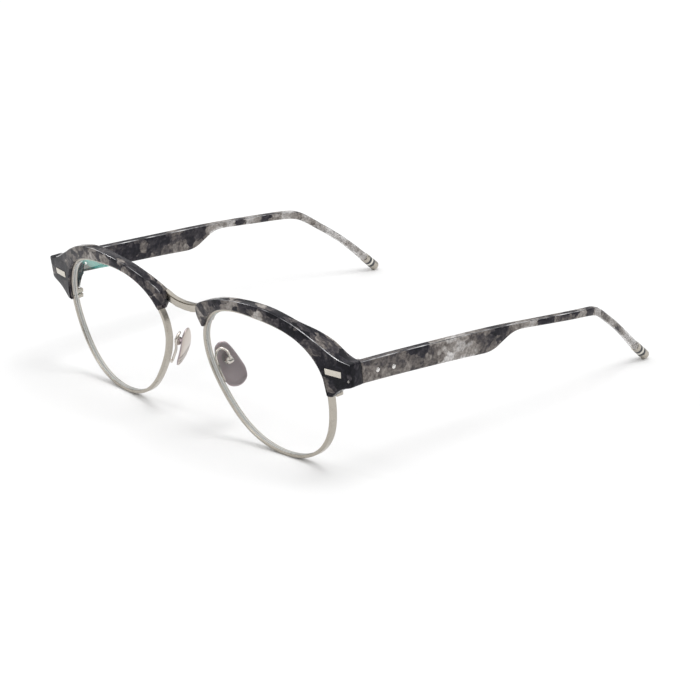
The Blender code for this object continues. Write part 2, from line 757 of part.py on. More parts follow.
def core_solid(name, grow):
    """The flat core wire, or with grow the channel that it lies in, open at both ends."""
    tip = Vector((TIP_Y, TIP_Z))
    along = Vector((TIP_AXIS.y, TIP_AXIS.z))
    path = smooth(CORE_PATH + (tuple(tip + along * 4.6),), 2)
    if grow:
        path = [(-6, CORE_PATH[0][1] + 0.4)] + path + [tuple(tip + along * 12)]
    thick = CORE_THICK + 2 * grow
    return plate(name, ribbon(path, CORE_HIGH / 2 + grow), thick,
                 lambda y, z, w: (temple_inner(y) + glide(TEMPLE_THICK, y) / 2 - thick / 2 + w, y, z),
                 TEMPLE_SLICES)


def make_core_wire():
    return core_solid("core_wire_left", 0)


def make_temple_rivets():
    rivets = []
    for where, (start, _) in zip(("front", "rear"), rivet_lines()):
        face = glide(TEMPLE_OUTER, start[1])
        foot = temple_inner(10) - GAP - LEAF_THICK - 0.05
        long = face - 0.5 - foot
        profile = ((0, long + 0.58), (0.75, long + 0.52), (1.0, long + 0.35), (1.0, long), (0.55, long),
                   (0.55, 0), (0, 0))
        rivets.append(turned(f"temple_rivet_{where}_left", profile, (foot, *start[1:]), (1, 0, 0), 12))
    return rivets


def tip_base(along):
    middle = temple_inner(TIP_Y) + glide(TEMPLE_THICK, TIP_Y) / 2
    return Vector((middle, TIP_Y, TIP_Z)) + TIP_AXIS * along


def make_tip_ring():
    outer = CAP_R - 0.08
    profile = ((CAP_BORE_R, RING_LONG), (outer, RING_LONG), (outer, 0), (CAP_BORE_R, 0))
    return turned("tip_ring_left", profile, tip_base(GAP), TIP_AXIS)


def make_tip_cap():
    profile = ((0, CAP_LONG), (CAP_R - CAP_EDGE, CAP_LONG), (CAP_R, CAP_LONG - CAP_EDGE), (CAP_R, CAP_EDGE),
               (CAP_R - CAP_EDGE, 0), (CAP_BORE_R, 0), (CAP_BORE_R, CAP_BORE_DEEP), (0, CAP_BORE_DEEP))
    return turned("tip_cap_left", profile, tip_base(GAP + RING_LONG + GAP), TIP_AXIS)


# ------------------------------------------------------------------------------ nose pad

PAD_OUT = PAD_ACROSS.cross(PAD_ALONG).normalized()
PAD_PIVOT = PAD_CENTRE + PAD_ALONG * PAD_BOX[0] + PAD_OUT * PAD_BOX[1]


def on_pad(across, along, out):
    """A point in the pad's own directions: across it, along it, and out from it towards the rim."""
    return PAD_CENTRE + PAD_ACROSS * across + PAD_ALONG * along + PAD_OUT * out


def pad_box(name, across, along, out):
    """A block with its sides along the pad's own directions, each given as (low, high)."""
    mesh = bpy.data.meshes.new(name)
    bm = bmesh.new()
    bmesh.ops.create_cube(bm, size=1)
    bm.to_mesh(mesh)
    bm.free()

    def place(co):
        spans = zip((across, along, out), co)
        return on_pad(*(low + (high - low) * (c + 0.5) for (low, high), c in spans))

    return put(name, mesh, place)


def make_nose_pad():
    outline = smooth(PAD_OUTLINE, 2, closed=True)

    def place(u, v, w):
        dish = (u**2 + v**2) * 0.012
        return on_pad(u, v, w - PAD_THICK / 2 + dish)

    pad = plate("nose_pad_left", outline, PAD_THICK, place)
    round_edges(pad, 0.4)
    along, out = PAD_BOX
    join(pad, pad_box("pad_lug", (-0.8, 0.8), (along - 1.0, along + 1.0), (0.2, out + 0.9)))
    cut(pad, rod("pad_lug_hole", on_pad(-3, along, out), on_pad(3, along, out), 0.4 + FINE_GAP, 12))
    return pad


def make_pad_arm():
    """A bent wire from the rim's back to a forked box round the pad's lug."""
    along, out = PAD_BOX
    top = on_pad(0, along, out + 1.3)
    path = smooth(PAD_ARM_PATH + (tuple(top),), 3)
    arm = wire("pad_arm_left", path, 0.45)
    join(arm, pad_box("fork", (-1.6, 1.6), (along - 1.1, along + 1.1), (out - 1.0, out + 1.8)))
    cut(arm, pad_box("fork_slot", (-1.05, 1.05), (along - 2, along + 2), (out - 2, out + 1.2)))
    cut(arm, rod("fork_hole", on_pad(-3, along, out), on_pad(3, along, out), 0.4 + FINE_GAP, 12))
    return arm


def make_pad_screw():
    along, out = PAD_BOX
    profile = ((0, 3.75), (0.45, 3.75), (0.7, 3.6), (0.7, 3.35), (0.4, 3.35), (0.4, 0), (0, 0))
    return turned("pad_screw_left", profile, on_pad(1.65, along, out), -PAD_ACROSS, 12)


# ------------------------------------------------------------------------------ assembly

clear_scene()
parts = new_collection(NAME)
cutters = new_collection("cutters")
for material_name in MATERIALS:
    make_material(material_name)

front = new_empty("front_frame", (0, -ORIGIN_BEHIND_RIMS, 0), None)
HINGE_PIVOT = (*HINGE, (HINGE_LOW + HINGE_HIGH) / 2)
SIDES = (("left", 1), ("right", -1))
pivots = {}
for side_name, sign in SIDES:
    for kind, point in (("hinge", HINGE_PIVOT), ("pad", PAD_PIVOT)):
        place_of = (sign * point[0], point[1], point[2])
        pivots[kind, side_name] = (new_empty(f"{kind}_pivot_{side_name}", place_of, front), place_of)
    pivots["front", side_name] = (front, (0, 0, 0))

finish(make_bridge(), "satin_metal", front)

LEFT_PIECES = (
    (make_brow, "acetate_front", "front"),
    (make_eyewire, "satin_metal", "front"),
    (make_lens, "demo_lens", "front"),
    (make_plaque, "inlay_metal", "front"),
    (make_brow_screws, "screw_steel", "front"),
    (make_lock_screw, "screw_steel", "front"),
    (make_end_rivet, "screw_steel", "front"),
    (make_front_leaf, "satin_metal", "front"),
    (make_hinge_screw, "screw_steel", "front"),
    (make_pad_arm, "satin_metal", "front"),
    (make_pad_screw, "screw_steel", "front"),
    (make_nose_pad, "pad_titanium", "pad"),
    (make_temple, "acetate_temple", "hinge"),
    (make_core_wire, "satin_metal", "hinge"),
    (make_temple_leaf, "satin_metal", "hinge"),
    (make_temple_rivets, "screw_steel", "hinge"),
    (make_tip_ring, "ring_enamel", "hinge"),
    (make_tip_cap, "cap_enamel", "hinge"),
)
for make, material_name, kind in LEFT_PIECES:
    made = make()
    for piece in made if isinstance(made, list) else [made]:
        finish(piece, material_name, *pivots[kind, "left"])
        add_twin(piece, piece.name.replace("left", "right"), *pivots[kind, "right"])
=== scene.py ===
"""The looks of the half rim eyeglasses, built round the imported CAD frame.

The wearer's left pieces are made in millimetres in the design's own frame, in which the front's
middle is near y = 0, then moved to the row frame in metres. The right ones are their mirror images.
"""

import math

import bmesh
import bpy
from mathutils import Matrix, Vector


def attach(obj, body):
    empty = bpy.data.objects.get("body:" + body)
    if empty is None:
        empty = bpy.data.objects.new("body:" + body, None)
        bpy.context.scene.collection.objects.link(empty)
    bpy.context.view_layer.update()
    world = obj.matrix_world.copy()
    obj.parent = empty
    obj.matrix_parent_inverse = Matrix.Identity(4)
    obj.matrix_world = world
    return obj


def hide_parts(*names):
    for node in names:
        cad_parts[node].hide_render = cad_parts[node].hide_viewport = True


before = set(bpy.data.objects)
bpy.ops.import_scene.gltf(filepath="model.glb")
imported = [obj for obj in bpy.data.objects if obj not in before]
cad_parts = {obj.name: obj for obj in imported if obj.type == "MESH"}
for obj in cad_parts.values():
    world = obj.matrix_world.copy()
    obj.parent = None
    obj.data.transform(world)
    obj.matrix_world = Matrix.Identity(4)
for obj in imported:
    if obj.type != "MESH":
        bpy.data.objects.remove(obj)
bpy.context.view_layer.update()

MM = 0.001
ORIGIN_BEHIND_RIMS = 68.3
GAP = 0.3
FINE_GAP = 0.15

# The design's shape, with the CAD's own numbers.
EYE_RADII = (24.7, 25.4, 24.0, 22.9, 25.5, 27.8, 25.5, 22.9, 23.5, 24.9, 26.3, 25.5)
EYE_X = 35.6
RIM_HALF = 0.55
RIM_DEPTH = 2.3
GROOVE_DEEP = 0.45
LUG_LOW = 27.2
LUG_HIGH = 30.4
LOCK_SCREW = (61.6, 0.1)
TAB_ANGLES = (57, 122)
FRONT_Y = -6.7
TILT = math.tan(math.radians(12))
WRAP = math.tan(math.radians(4.4))
LENS_CURVE_X = 131
LENS_CURVE_Z = 357
FLAT_FROM = 22.4
FLAT_SLOPE = 0.2
BROW_LIP = 1.0
BROW_DEPTH = 4.0
BROW_LOW = (0.1, 4, 153)
BROW_EDGE = 0.55
BROW_NOSE = ((10.4, 37.9), (9.4, 39.4), (8.2, 41.6), (8.0, 43.8), (8.8, 45.7), (10.6, 46.9))
BROW_TOP = ((14, 48.5), (18, 50.0), (22, 51.2), (27, 52.1), (31.5, 52.6), (36, 52.8), (40.5, 52.6),
            (45, 51.8), (50, 50.3), (54.5, 48.2), (58, 46.1), (61, 44.3), (63.5, 42.8), (66.5, 41.4))
BROW_END = ((70.5, 40.6), (70.5, 33.2), (69.4, 32.4), (66.5, 31.3), (64.4, 29.9), (62.9, 28.4),
            (61.6, 27.2))
PLAQUE_THICK = 0.7
PLAQUE_PROUD = 0.12
END_X = 70.5
END_PIN = (69.3, 34.9)
BUTT_Y = 1.1
BUTT_Z = 37.0
BUTT_LEAN = math.tan(math.radians(8))
HINGE = (67.0, 3.0)
HINGE_LOW = 33.9
HINGE_HIGH = 39.1
BARREL_R = 1.25
SCREW_R = 0.5
LEAF_THICK = 0.8
LEAF_Y = 0.9
LEAF_X = (61.2, 66.3)
TEMPLE_TOP = ((12, 39.6), (23, 38.8), (44, 37.2), (65, 35.5), (80, 33.9), (95, 32.2), (106, 30.9),
              (111.4, 30.0), (115.2, 28.2), (120, 25.0), (131, 17.2))
TEMPLE_LOW = ((131, 14.3), (120, 22.1), (115.5, 25.0), (111.6, 26.9), (106, 28.1), (95, 29.5),
              (82, 31.2), (75, 32.1), (71.5, 32.2), (68.5, 31.6), (65, 30.1), (61.5, 28.6),
              (58, 28.1), (54, 28.4), (44, 29.4), (23, 31.2), (12, 32.1))
TEMPLE_OUTER = ((0, 70.5), (30, 70.8), (60, 71.5), (90, 72.5), (108, 72.3), (122, 69.8), (134, 67.2),
                (143, 66.1), (152, 65.9))
TEMPLE_THICK = ((0, 2.8), (55, 2.8), (75, 2.6), (152, 2.6))
TEMPLE_EDGE = 0.7
BUTT_TOP_Z = 40.4
BUTT_LOW_Z = 33.0
TIP_Y = 142.2
TIP_SLOPE = math.radians(40)
TIP_HALF = 1.45
RING_LONG = 1.2
CAP_LONG = 6.2
CAP_R = 1.75
CAP_EDGE = 0.35
CORE_PATH = ((3.2, 38.2), (20, 37.3), (45, 35.2), (65, 33.9), (73, 33.3), (95, 30.85), (106, 29.5),
             (111.5, 28.3), (116, 26.2), (125, 20.1), (133, 13.98))
CORE_HIGH = 1.2
CORE_THICK = 0.8
PAD_CENTRE = Vector((10.4, 2.2, 22.7))
PAD_ALONG = Vector((-0.412, -0.2195, 0.8844)).normalized()
PAD_ACROSS = Vector((0.3092, 0.8762, 0.3631)).normalized()
PAD_OUT = PAD_ACROSS.cross(PAD_ALONG).normalized()
PAD_OUTLINE = ((0, 7.8), (2.1, 6.8), (3.2, 3.6), (3.9, -0.5), (4.1, -3.6), (3.0, -6.6), (0, -7.8),
               (-3.0, -6.6), (-4.1, -3.6), (-3.9, -0.5), (-3.2, 3.6), (-2.1, 6.8))
PAD_THICK = 1.2
PAD_DISH = 0.012
PAD_LINES = (-1.5, -3.25, -5.0)
PAD_BOX = (1.4, 2.35)
PAD_ARM_PATH = ((12.5, -1.7, 18.4), (11.2, -2.0, 20.7), (10.1, -2.2, 23.1), (9.5, -2.65, 25.6),
                (9.3, -2.25, 27.5), (9.7, -1.0, 28.5), (10.8, 0.2, 28.0), (12.0, 0.55, 26.9))


# ------------------------------------------------------------------------------ curves

def smooth(points, steps, closed=False):
    """Points on a smooth curve through these ones, steps of them for each span."""
    count = len(points)
    result = []
    for span in range(count if closed else count - 1):
        corners = []
        for offset in (-1, 0, 1, 2):
            index = span + offset
            corners.append(points[index % count if closed else min(max(index, 0), count - 1)])
        for step in range(steps):
            t = step / steps
            weights = (-t + 2 * t**2 - t**3, 2 - 5 * t**2 + 3 * t**3, t + 4 * t**2 - 3 * t**3, -t**2 + t**3)
            result.append(tuple(sum(w * c[axis] for w, c in zip(weights, corners)) / 2
                                for axis in range(len(points[0]))))
    if not closed:
        result.append(tuple(points[-1]))
    return result


def glide(points, at):
    """The height at one place of a smooth curve through (place, height) points."""
    if at <= points[0][0]:
        return points[0][1]
    if at >= points[-1][0]:
        return points[-1][1]
    slopes = [0.0]
    for (x0, y0), (x2, y2) in zip(points, points[2:]):
        slopes.append((y2 - y0) / (x2 - x0))
    slopes.append(slopes[-1])
    for index in range(len(points) - 1):
        (x0, y0), (x1, y1) = points[index], points[index + 1]
        if at <= x1:
            long = x1 - x0
            t = (at - x0) / long
            rise = (3 - 2 * t) * t**2
            return (y0 + (y1 - y0) * rise + long * slopes[index] * t * (1 - t)**2
                    - long * slopes[index + 1] * t**2 * (1 - t))
    return points[-1][1]


def ramp(value, start, end):
    """0 before start, 1 after end, and a smooth rise between them."""
    t = min(max((value - start) / (end - start), 0), 1)
    return t * t * (3 - 2 * t)


def ribbon(path, half):
    """The outline of a band along a path, half to each side of it."""
    left, right = [], []
    for index, (u, v) in enumerate(path):
        before = path[max(index - 1, 0)]
        after = path[min(index + 1, len(path) - 1)]
        along = Vector((after[0] - before[0], after[1] - before[1])).normalized()
        left.append((u - half * along.y, v + half * along.x))
        right.append((u + half * along.y, v - half * along.x))
    return left + right[::-1]


def steps_between(low, high, step):
    return [low + step * index for index in range(int((high - low) / step) + 1)]


# ------------------------------------------------------------------------------ solids

def put(name, mesh, place):
    """An object of this mesh, each point moved to place(point), then to the row frame in metres."""
    for vertex in mesh.vertices:
        vertex.co = (Vector(place(vertex.co)) - Vector((0, ORIGIN_BEHIND_RIMS, 0))) * MM
    bm = bmesh.new()
    bm.from_mesh(mesh)
    bmesh.ops.recalc_face_normals(bm, faces=bm.faces)
    bm.to_mesh(mesh)
    bm.free()
    obj = bpy.data.objects.new(name, mesh)
    bpy.context.scene.collection.objects.link(obj)
    return obj


def mesh_from_curve(name, curve):
    source = bpy.data.objects.new(name, curve)
    bpy.context.scene.collection.objects.link(source)
    graph = bpy.context.evaluated_depsgraph_get()
    mesh = bpy.data.meshes.new_from_object(source.evaluated_get(graph))
    bpy.data.objects.remove(source)
    bpy.data.curves.remove(curve)
    bm = bmesh.new()
    bm.from_mesh(mesh)
    bmesh.ops.remove_doubles(bm, verts=bm.verts, dist=0.0005)
    bm.to_mesh(mesh)
    bm.free()
    return mesh


def plate(name, outline, depth, place, slices=()):
    """A flat outline (u, v) given a depth, its two flat faces sliced at each u to follow a curve."""
    curve = bpy.data.curves.new(name, "CURVE")
    curve.dimensions = "2D"
    curve.fill_mode = "BOTH"
    curve.extrude = depth / 2
    spline = curve.splines.new("POLY")
    spline.points.add(len(outline) - 1)
    for target, (u, v) in zip(spline.points, outline):
        target.co = (u, v, 0, 1)
    spline.use_cyclic_u = True
    mesh = mesh_from_curve(name, curve)
    bm = bmesh.new()
    bm.from_mesh(mesh)
    for side in (-1, 1):
        cap = [face for face in bm.faces if face.normal.z * side > 0.99]
        bmesh.ops.dissolve_faces(bm, faces=cap, use_verts=False)
    for u in slices:
        bmesh.ops.bisect_plane(bm, geom=bm.verts[:] + bm.edges[:] + bm.faces[:], dist=0.001,
                               plane_co=(u, 0, 0), plane_no=(1, 0, 0))
    bm.to_mesh(mesh)
    bm.free()
    return put(name, mesh, lambda co: place(co.x, co.y, co.z + depth / 2))


def grid(name, rings, place, closed=False):
    """A skin through rings of points: the last joins the first if closed, or else a face fills each end."""
    mesh = bpy.data.meshes.new(name)
    bm = bmesh.new()
    rows = [[bm.verts.new(point) for point in ring] for ring in rings]
    pairs = list(zip(rows, rows[1:]))
    if closed:
        pairs.append((rows[-1], rows[0]))
    for one, other in pairs:
        count = len(one)
        for index in range(count):
            after = (index + 1) % count
            bm.faces.new((one[index], one[after], other[after], other[index]))
    if not closed:
        bm.faces.new(rows[0])
        bm.faces.new(rows[-1])
    bm.to_mesh(mesh)
    bm.free()
    return put(name, mesh, place)


def box(name, low, high, place=lambda co: co):
    mesh = bpy.data.meshes.new(name)
    bm = bmesh.new()
    bmesh.ops.create_cube(bm, size=1)
    bm.to_mesh(mesh)
    bm.free()
    return put(name, mesh,
               lambda co: place(Vector([a + (b - a) * (c + 0.5) for a, b, c in zip(low, high, co)])))


def lathe(name, profile, base, direction, sides=40):
    """A turned piece: (radius, height) points from the top down its outer side, about a direction."""
    turn = Vector(direction).to_track_quat("Z", "Y")
    rings = []
    for radius, height in profile:
        reach = max(radius, 0.002)
        rings.append([(reach * math.cos(2 * math.pi * side / sides),
                       reach * math.sin(2 * math.pi * side / sides), height) for side in range(sides)])
    return grid(name, rings, lambda co: turn @ Vector(co) + Vector(base))


def rod(name, start, end, radius):
    start, end = Vector(start), Vector(end)
    return lathe(name, ((radius, (end - start).length), (radius, 0)), start, end - start, 24)


def wire(name, points, radius):
    """A round wire through points, its section carried along without twist."""
    points = [Vector(point) for point in points]
    sides = 14
    rings = []
    side = Vector((0, 0, 1))
    for index, point in enumerate(points):
        along = (points[min(index + 1, len(points) - 1)] - points[max(index - 1, 0)]).normalized()
        side = (side - along * side.dot(along)).normalized()
        other = along.cross(side)
        rings.append([point + (side * math.cos(turn) + other * math.sin(turn)) * radius
                      for turn in (2 * math.pi * step / sides for step in range(sides))])
    return grid(name, rings, lambda co: co)


def bevel(obj, width, segments=3):
    modifier = obj.modifiers.new("edges", "BEVEL")
    modifier.width = width * MM
    modifier.segments = segments
    modifier.limit_method = "ANGLE"
    modifier.angle_limit = math.radians(40)
    modifier.use_clamp_overlap = False


def cut(obj, other):
    modifier = obj.modifiers.new("cut", "BOOLEAN")
    modifier.operation = "DIFFERENCE"
    modifier.solver = "MANIFOLD"
    modifier.object = other
    other.hide_render = True


def settle(obj):
    """Applies a piece's modifiers, and removes the solids that cut it."""
    bpy.context.view_layer.update()
    graph = bpy.context.evaluated_depsgraph_get()
    mesh = bpy.data.meshes.new_from_object(obj.evaluated_get(graph))
    used = {modifier.object for modifier in obj.modifiers if modifier.type == "BOOLEAN"}
    obj.modifiers.clear()
    obj.data = mesh
    for other in used:
        bpy.data.objects.remove(other)
    return obj


def merge(name, pieces):
    """One object of several settled ones."""
    bm = bmesh.new()
    for piece in pieces:
        settle(piece)
        bm.from_mesh(piece.data)
        bpy.data.objects.remove(piece)
    mesh = bpy.data.meshes.new(name)
    bm.to_mesh(mesh)
    bm.free()
    obj = bpy.data.objects.new(name, mesh)
    bpy.context.scene.collection.objects.link(obj)
    return obj


# ------------------------------------------------------------------------------ materials

def new_material(name):
    material = bpy.data.materials.new(name)
    material.use_nodes = True
    tree = material.node_tree
    return material, tree, tree.nodes["Principled BSDF"]


def node(tree, kind, values=None, **settings):
    """A node with its settings; values gives each input a number or another node's output."""
    made = tree.nodes.new(kind)
    for key, value in settings.items():
        setattr(made, key, value)
    for key, value in (values or {}).items():
        if isinstance(value, bpy.types.NodeSocket):
            tree.links.new(value, made.inputs[key])
        else:
            made.inputs[key].default_value = value
    return made


def maths(tree, operation, one, other=0.0, clamp=False):
    return node(tree, "ShaderNodeMath", {0: one, 1: other}, operation=operation, use_clamp=clamp).outputs[0]


def vector_maths(tree, operation, one, other=(0, 0, 0), scale=None):
    values = {0: one} if operation == "SCALE" else {0: one, 1: other}
    made = node(tree, "ShaderNodeVectorMath", values, operation=operation)
    if scale is not None:
        made.inputs["Scale"].default_value = scale
    return made.outputs[0]


def colour_ramp(tree, factor, stops):
    made = node(tree, "ShaderNodeValToRGB", {0: factor})
    elements = made.color_ramp.elements
    while len(elements) > 1:
        elements.remove(elements[-1])
    for index, (position, colour) in enumerate(stops):
        element = elements[0] if index == 0 else elements.new(position)
        element.position = position
        if not isinstance(colour, tuple):
            colour = (colour, colour, colour)
        element.color = (*colour, 1)
    return made.outputs[0]


def millimetres(tree):
    """The surface point in millimetres, in the piece's own frame."""
    place = node(tree, "ShaderNodeTexCoord").outputs["Object"]
    return vector_maths(tree, "SCALE", place, scale=1000)


def noise(tree, vector, scale, detail=2.0, output="Fac"):
    made = node(tree, "ShaderNodeTexNoise", {"Vector": vector, "Scale": scale, "Detail": detail})
    return made.outputs[output]


def bump(tree, shader, height, distance, strength=1.0):
    made = node(tree, "ShaderNodeBump", {"Height": height, "Distance": distance, "Strength": strength})
    tree.links.new(made.outputs[0], shader.inputs["Normal"])


def brushed(name, colour, roughness, spread, grain, depth=0.00002):
    """Metal with a fine directional grain; grain scales the grain's pattern along X, Y and Z."""
    material, tree, shader = new_material(name)
    shader.inputs["Metallic"].default_value = 1.0
    place = millimetres(tree)
    stretched = vector_maths(tree, "MULTIPLY", place, grain)
    fine = noise(tree, stretched, 6.0, 3.0)
    soft = noise(tree, place, 0.35, 2.0)
    mixed = maths(tree, "ADD", maths(tree, "MULTIPLY", fine, 0.5), maths(tree, "MULTIPLY", soft, 0.5))
    tree.links.new(maths(tree, "ADD", maths(tree, "MULTIPLY", mixed, spread), roughness - spread / 2),
                   shader.inputs["Roughness"])
    darker = tuple(channel * 0.86 for channel in colour)
    tree.links.new(colour_ramp(tree, mixed, ((0.3, darker), (0.7, colour))), shader.inputs["Base Color"])
    bump(tree, shader, fine, depth, 0.6)
    return material


def blend(tree, share, one, other):
    return node(tree, "ShaderNodeMix", {0: share, 2: one, 3: other}).outputs[0]


def along_arch(side):
    """Measures a brow: side is 1 for the left one and -1 for the right one."""
    def measure(tree, place):
        """The turn round the arch's centre, 0 at the end piece and 1 at the nose, and the way out from it."""
        made = node(tree, "ShaderNodeSeparateXYZ", {0: place})
        across = maths(tree, "SUBTRACT", maths(tree, "MULTIPLY", made.outputs[0], side), ARCH_CENTRE[0])
        up = maths(tree, "SUBTRACT", made.outputs[2], ARCH_CENTRE[1])
        turn = maths(tree, "SUBTRACT", maths(tree, "ARCTAN2", up, across), math.radians(ARCH_FIRST))
        reach = maths(tree, "SQRT", maths(tree, "ADD", maths(tree, "MULTIPLY", across, across),
                                          maths(tree, "MULTIPLY", up, up)))
        share = maths(tree, "DIVIDE", turn, math.radians(ARCH_LAST - ARCH_FIRST))
        return share, maths(tree, "SUBTRACT", reach, ARCH_REACH)
    return measure


def along_temple(tree, place):
    """The way along the temple, 0 at the hinge and 1 at the tip, and the way up from its middle."""
    made = node(tree, "ShaderNodeSeparateXYZ", {0: place})
    back = maths(tree, "ADD", made.outputs[1], ORIGIN_BEHIND_RIMS - TONES_START)
    middle = maths(tree, "SUBTRACT", TEMPLE_MIDDLE, maths(tree, "MULTIPLY", back, TEMPLE_FALL))
    return maths(tree, "DIVIDE", back, TONES_LONG), maths(tree, "SUBTRACT", made.outputs[2], middle)


def acetate(name, cell, measure, tones, opacity, vary, seed):
    """Marbled acetate, in chips of cell's size along X, Y and Z.

    Along the piece, tones says how light the chips are and vary how far they differ.
    """
    material, tree, shader = new_material(name)
    place = millimetres(tree)
    warp = vector_maths(tree, "SUBTRACT", noise(tree, vector_maths(tree, "ADD", place, (seed, 0, seed)),
                                                0.28, 3.0, "Color"), (0.5, 0.5, 0.5))
    warped = vector_maths(tree, "ADD", place, vector_maths(tree, "SCALE", warp, scale=3.4))
    chips = vector_maths(tree, "MULTIPLY", warped, tuple(1 / size for size in cell))
    chip = node(tree, "ShaderNodeTexVoronoi", {"Vector": chips, "Scale": 1.0, "Smoothness": 0.16},
                feature="SMOOTH_F1")
    home = vector_maths(tree, "MULTIPLY", chip.outputs["Position"], cell)
    at = node(tree, "ShaderNodeMix", {0: 0.6, 4: warped, 5: home}, data_type="VECTOR").outputs[1]
    share, rise = measure(tree, at)
    upper = maths(tree, "DIVIDE", maths(tree, "ADD", rise, 3), 7, clamp=True)
    tone = maths(tree, "ADD", colour_ramp(tree, share, tones), maths(tree, "MULTIPLY", upper, -0.15))
    spread = colour_ramp(tree, share, vary)
    shade = node(tree, "ShaderNodeSeparateColor", {0: chip.outputs["Color"]}).outputs[0]
    streak = noise(tree, vector_maths(tree, "MULTIPLY", chips, (1.6, 1.6, 1.6)), 1.2, 4.0)
    tone = maths(tree, "ADD", tone, maths(tree, "MULTIPLY", maths(tree, "SUBTRACT", shade, 0.5), spread))
    tone = maths(tree, "ADD", tone, maths(tree, "MULTIPLY", maths(tree, "SUBTRACT", streak, 0.5), 0.55))
    colour = colour_ramp(tree, tone, ((0.0, (0.006, 0.006, 0.009)), (0.14, (0.016, 0.015, 0.021)),
                                      (0.28, (0.052, 0.047, 0.052)), (0.42, (0.145, 0.128, 0.118)),
                                      (0.58, (0.31, 0.285, 0.265)), (0.78, (0.58, 0.555, 0.54)),
                                      (1.0, (0.82, 0.80, 0.79))))
    mottle = colour_ramp(tree, noise(tree, place, 1.1, 3.0), ((0.3, 0.62), (0.7, 1.35)))
    mottled = node(tree, "ShaderNodeMix", {0: 1.0, 6: colour, 7: mottle}, data_type="RGBA",
                   blend_type="MULTIPLY").outputs[2]
    tree.links.new(mottled, shader.inputs["Base Color"])
    if opacity:
        tree.links.new(colour_ramp(tree, tone, opacity), shader.inputs["Alpha"])
    wear = noise(tree, place, 0.5, 3.0)
    tree.links.new(maths(tree, "ADD", maths(tree, "MULTIPLY", wear, 0.06), 0.04), shader.inputs["Roughness"])
    shader.inputs["IOR"].default_value = 1.49
    shader.inputs["Specular IOR Level"].default_value = 0.13
    bump(tree, shader, noise(tree, place, 0.45, 1.0), 0.00006, 0.5)
    return material


def lens_material():
    """Clear plastic with a thin coating, which mirrors blue-green and lets through the rest; near the top
    edge it mirrors far more, a painted reflection.
    """
    material, tree, shader = new_material("lens_coated")
    tree.nodes.remove(shader)
    facing = node(tree, "ShaderNodeLayerWeight", {"Blend": 0.5}).outputs["Facing"]
    patch = noise(tree, millimetres(tree), 0.05, 1.0)
    height = node(tree, "ShaderNodeSeparateXYZ", {0: millimetres(tree)}).outputs[2]
    # Painted reflection: above about 44 mm the coating mirrors far more than elsewhere.
    top = colour_ramp(tree, maths(tree, "DIVIDE", height, 50), ((0.88, 0.0), (0.905, 1.0)))
    glance = maths(tree, "ADD", maths(tree, "MULTIPLY", top, 0.7), maths(tree, "MULTIPLY", patch, 0.03))
    glance = maths(tree, "MULTIPLY", maths(tree, "POWER", facing, 2.0), glance)
    share = maths(tree, "MINIMUM", maths(tree, "ADD", glance, 0.004), 0.15)
    mirrored_part = vector_maths(tree, "SCALE", (0.12, 1.0, 0.85))
    tree.links.new(share, mirrored_part.node.inputs["Scale"])
    passed = vector_maths(tree, "SUBTRACT", (1, 1, 1), mirrored_part)
    clear = node(tree, "ShaderNodeBsdfTransparent", {"Color": passed})
    mirror = node(tree, "ShaderNodeBsdfGlossy", {"Color": mirrored_part, "Roughness": 0.015})
    both = node(tree, "ShaderNodeAddShader", {0: clear.outputs[0], 1: mirror.outputs[0]})
    tree.links.new(both.outputs[0], tree.nodes["Material Output"].inputs["Surface"])
    return material


def glint_material():
    """A painted highlight: the bright line along a polished edge, broken up along its length."""
    material, tree, shader = new_material("polished_edge")
    place = millimetres(tree)
    broken = noise(tree, place, 0.16, 3.0)
    tree.links.new(colour_ramp(tree, broken, ((0.38, (0.05, 0.05, 0.055)), (0.55, (0.42, 0.42, 0.43)),
                                              (0.70, (0.80, 0.80, 0.80)))), shader.inputs["Base Color"])
    shader.inputs["Metallic"].default_value = 0.8
    tree.links.new(maths(tree, "ADD", maths(tree, "MULTIPLY", noise(tree, place, 1.0), 0.1), 0.12),
                   shader.inputs["Roughness"])
    return material


def enamel(name, colour):
    material, tree, shader = new_material(name)
    fine = noise(tree, millimetres(tree), 2.5, 3.0)
    darker = tuple(channel * 0.85 for channel in colour)
    tree.links.new(colour_ramp(tree, fine, ((0.3, darker), (0.7, colour))), shader.inputs["Base Color"])
    tree.links.new(maths(tree, "ADD", maths(tree, "MULTIPLY", fine, 0.1), 0.16), shader.inputs["Roughness"])
    bump(tree, shader, fine, 0.00001, 0.5)
    return material


# The brow's arch: its centre, its turn in degrees, and how far out its lower edge is.
ARCH_CENTRE = (EYE_X - 1.64, 16.18)
ARCH_FIRST = 20
ARCH_LAST = 150
ARCH_REACH = 33
# The temple: where its tones start and how far they run, and its middle line's height and fall.
TONES_START = 2
TONES_LONG = 132
TEMPLE_MIDDLE = 36.6
TEMPLE_FALL = 0.078

# How light the acetate is, from 0 at the end piece or the hinge to 1 at the nose or the tip.
DARK, DUSKY, MIDDLE, PALE, CLEAR = 0.2, 0.33, 0.46, 0.6, 0.78
BROW_TONES = ((0.0, DARK), (0.14, DARK), (0.22, MIDDLE), (0.3, DUSKY), (0.4, DARK), (0.48, PALE),
              (0.56, DARK), (0.64, PALE), (0.72, DARK), (0.8, MIDDLE), (1.0, MIDDLE))
BROW_TONES_RIGHT = ((0.0, DARK), (0.15, DUSKY), (0.3, MIDDLE), (0.5, MIDDLE), (0.6, DUSKY), (0.68, MIDDLE),
                    (0.76, DUSKY), (0.84, MIDDLE), (0.9, DUSKY), (1.0, PALE))
TEMPLE_TONES = ((0.0, MIDDLE), (0.14, MIDDLE), (0.19, DUSKY), (0.25, PALE), (0.31, CLEAR), (0.38, PALE),
                (0.43, DUSKY), (0.48, DUSKY), (0.52, PALE), (0.58, CLEAR), (0.62, DUSKY), (0.67, PALE),
                (0.72, DUSKY), (0.76, PALE), (0.80, MIDDLE), (0.84, CLEAR), (0.88, DUSKY), (0.92, CLEAR),
                (0.95, DUSKY), (1.0, CLEAR))
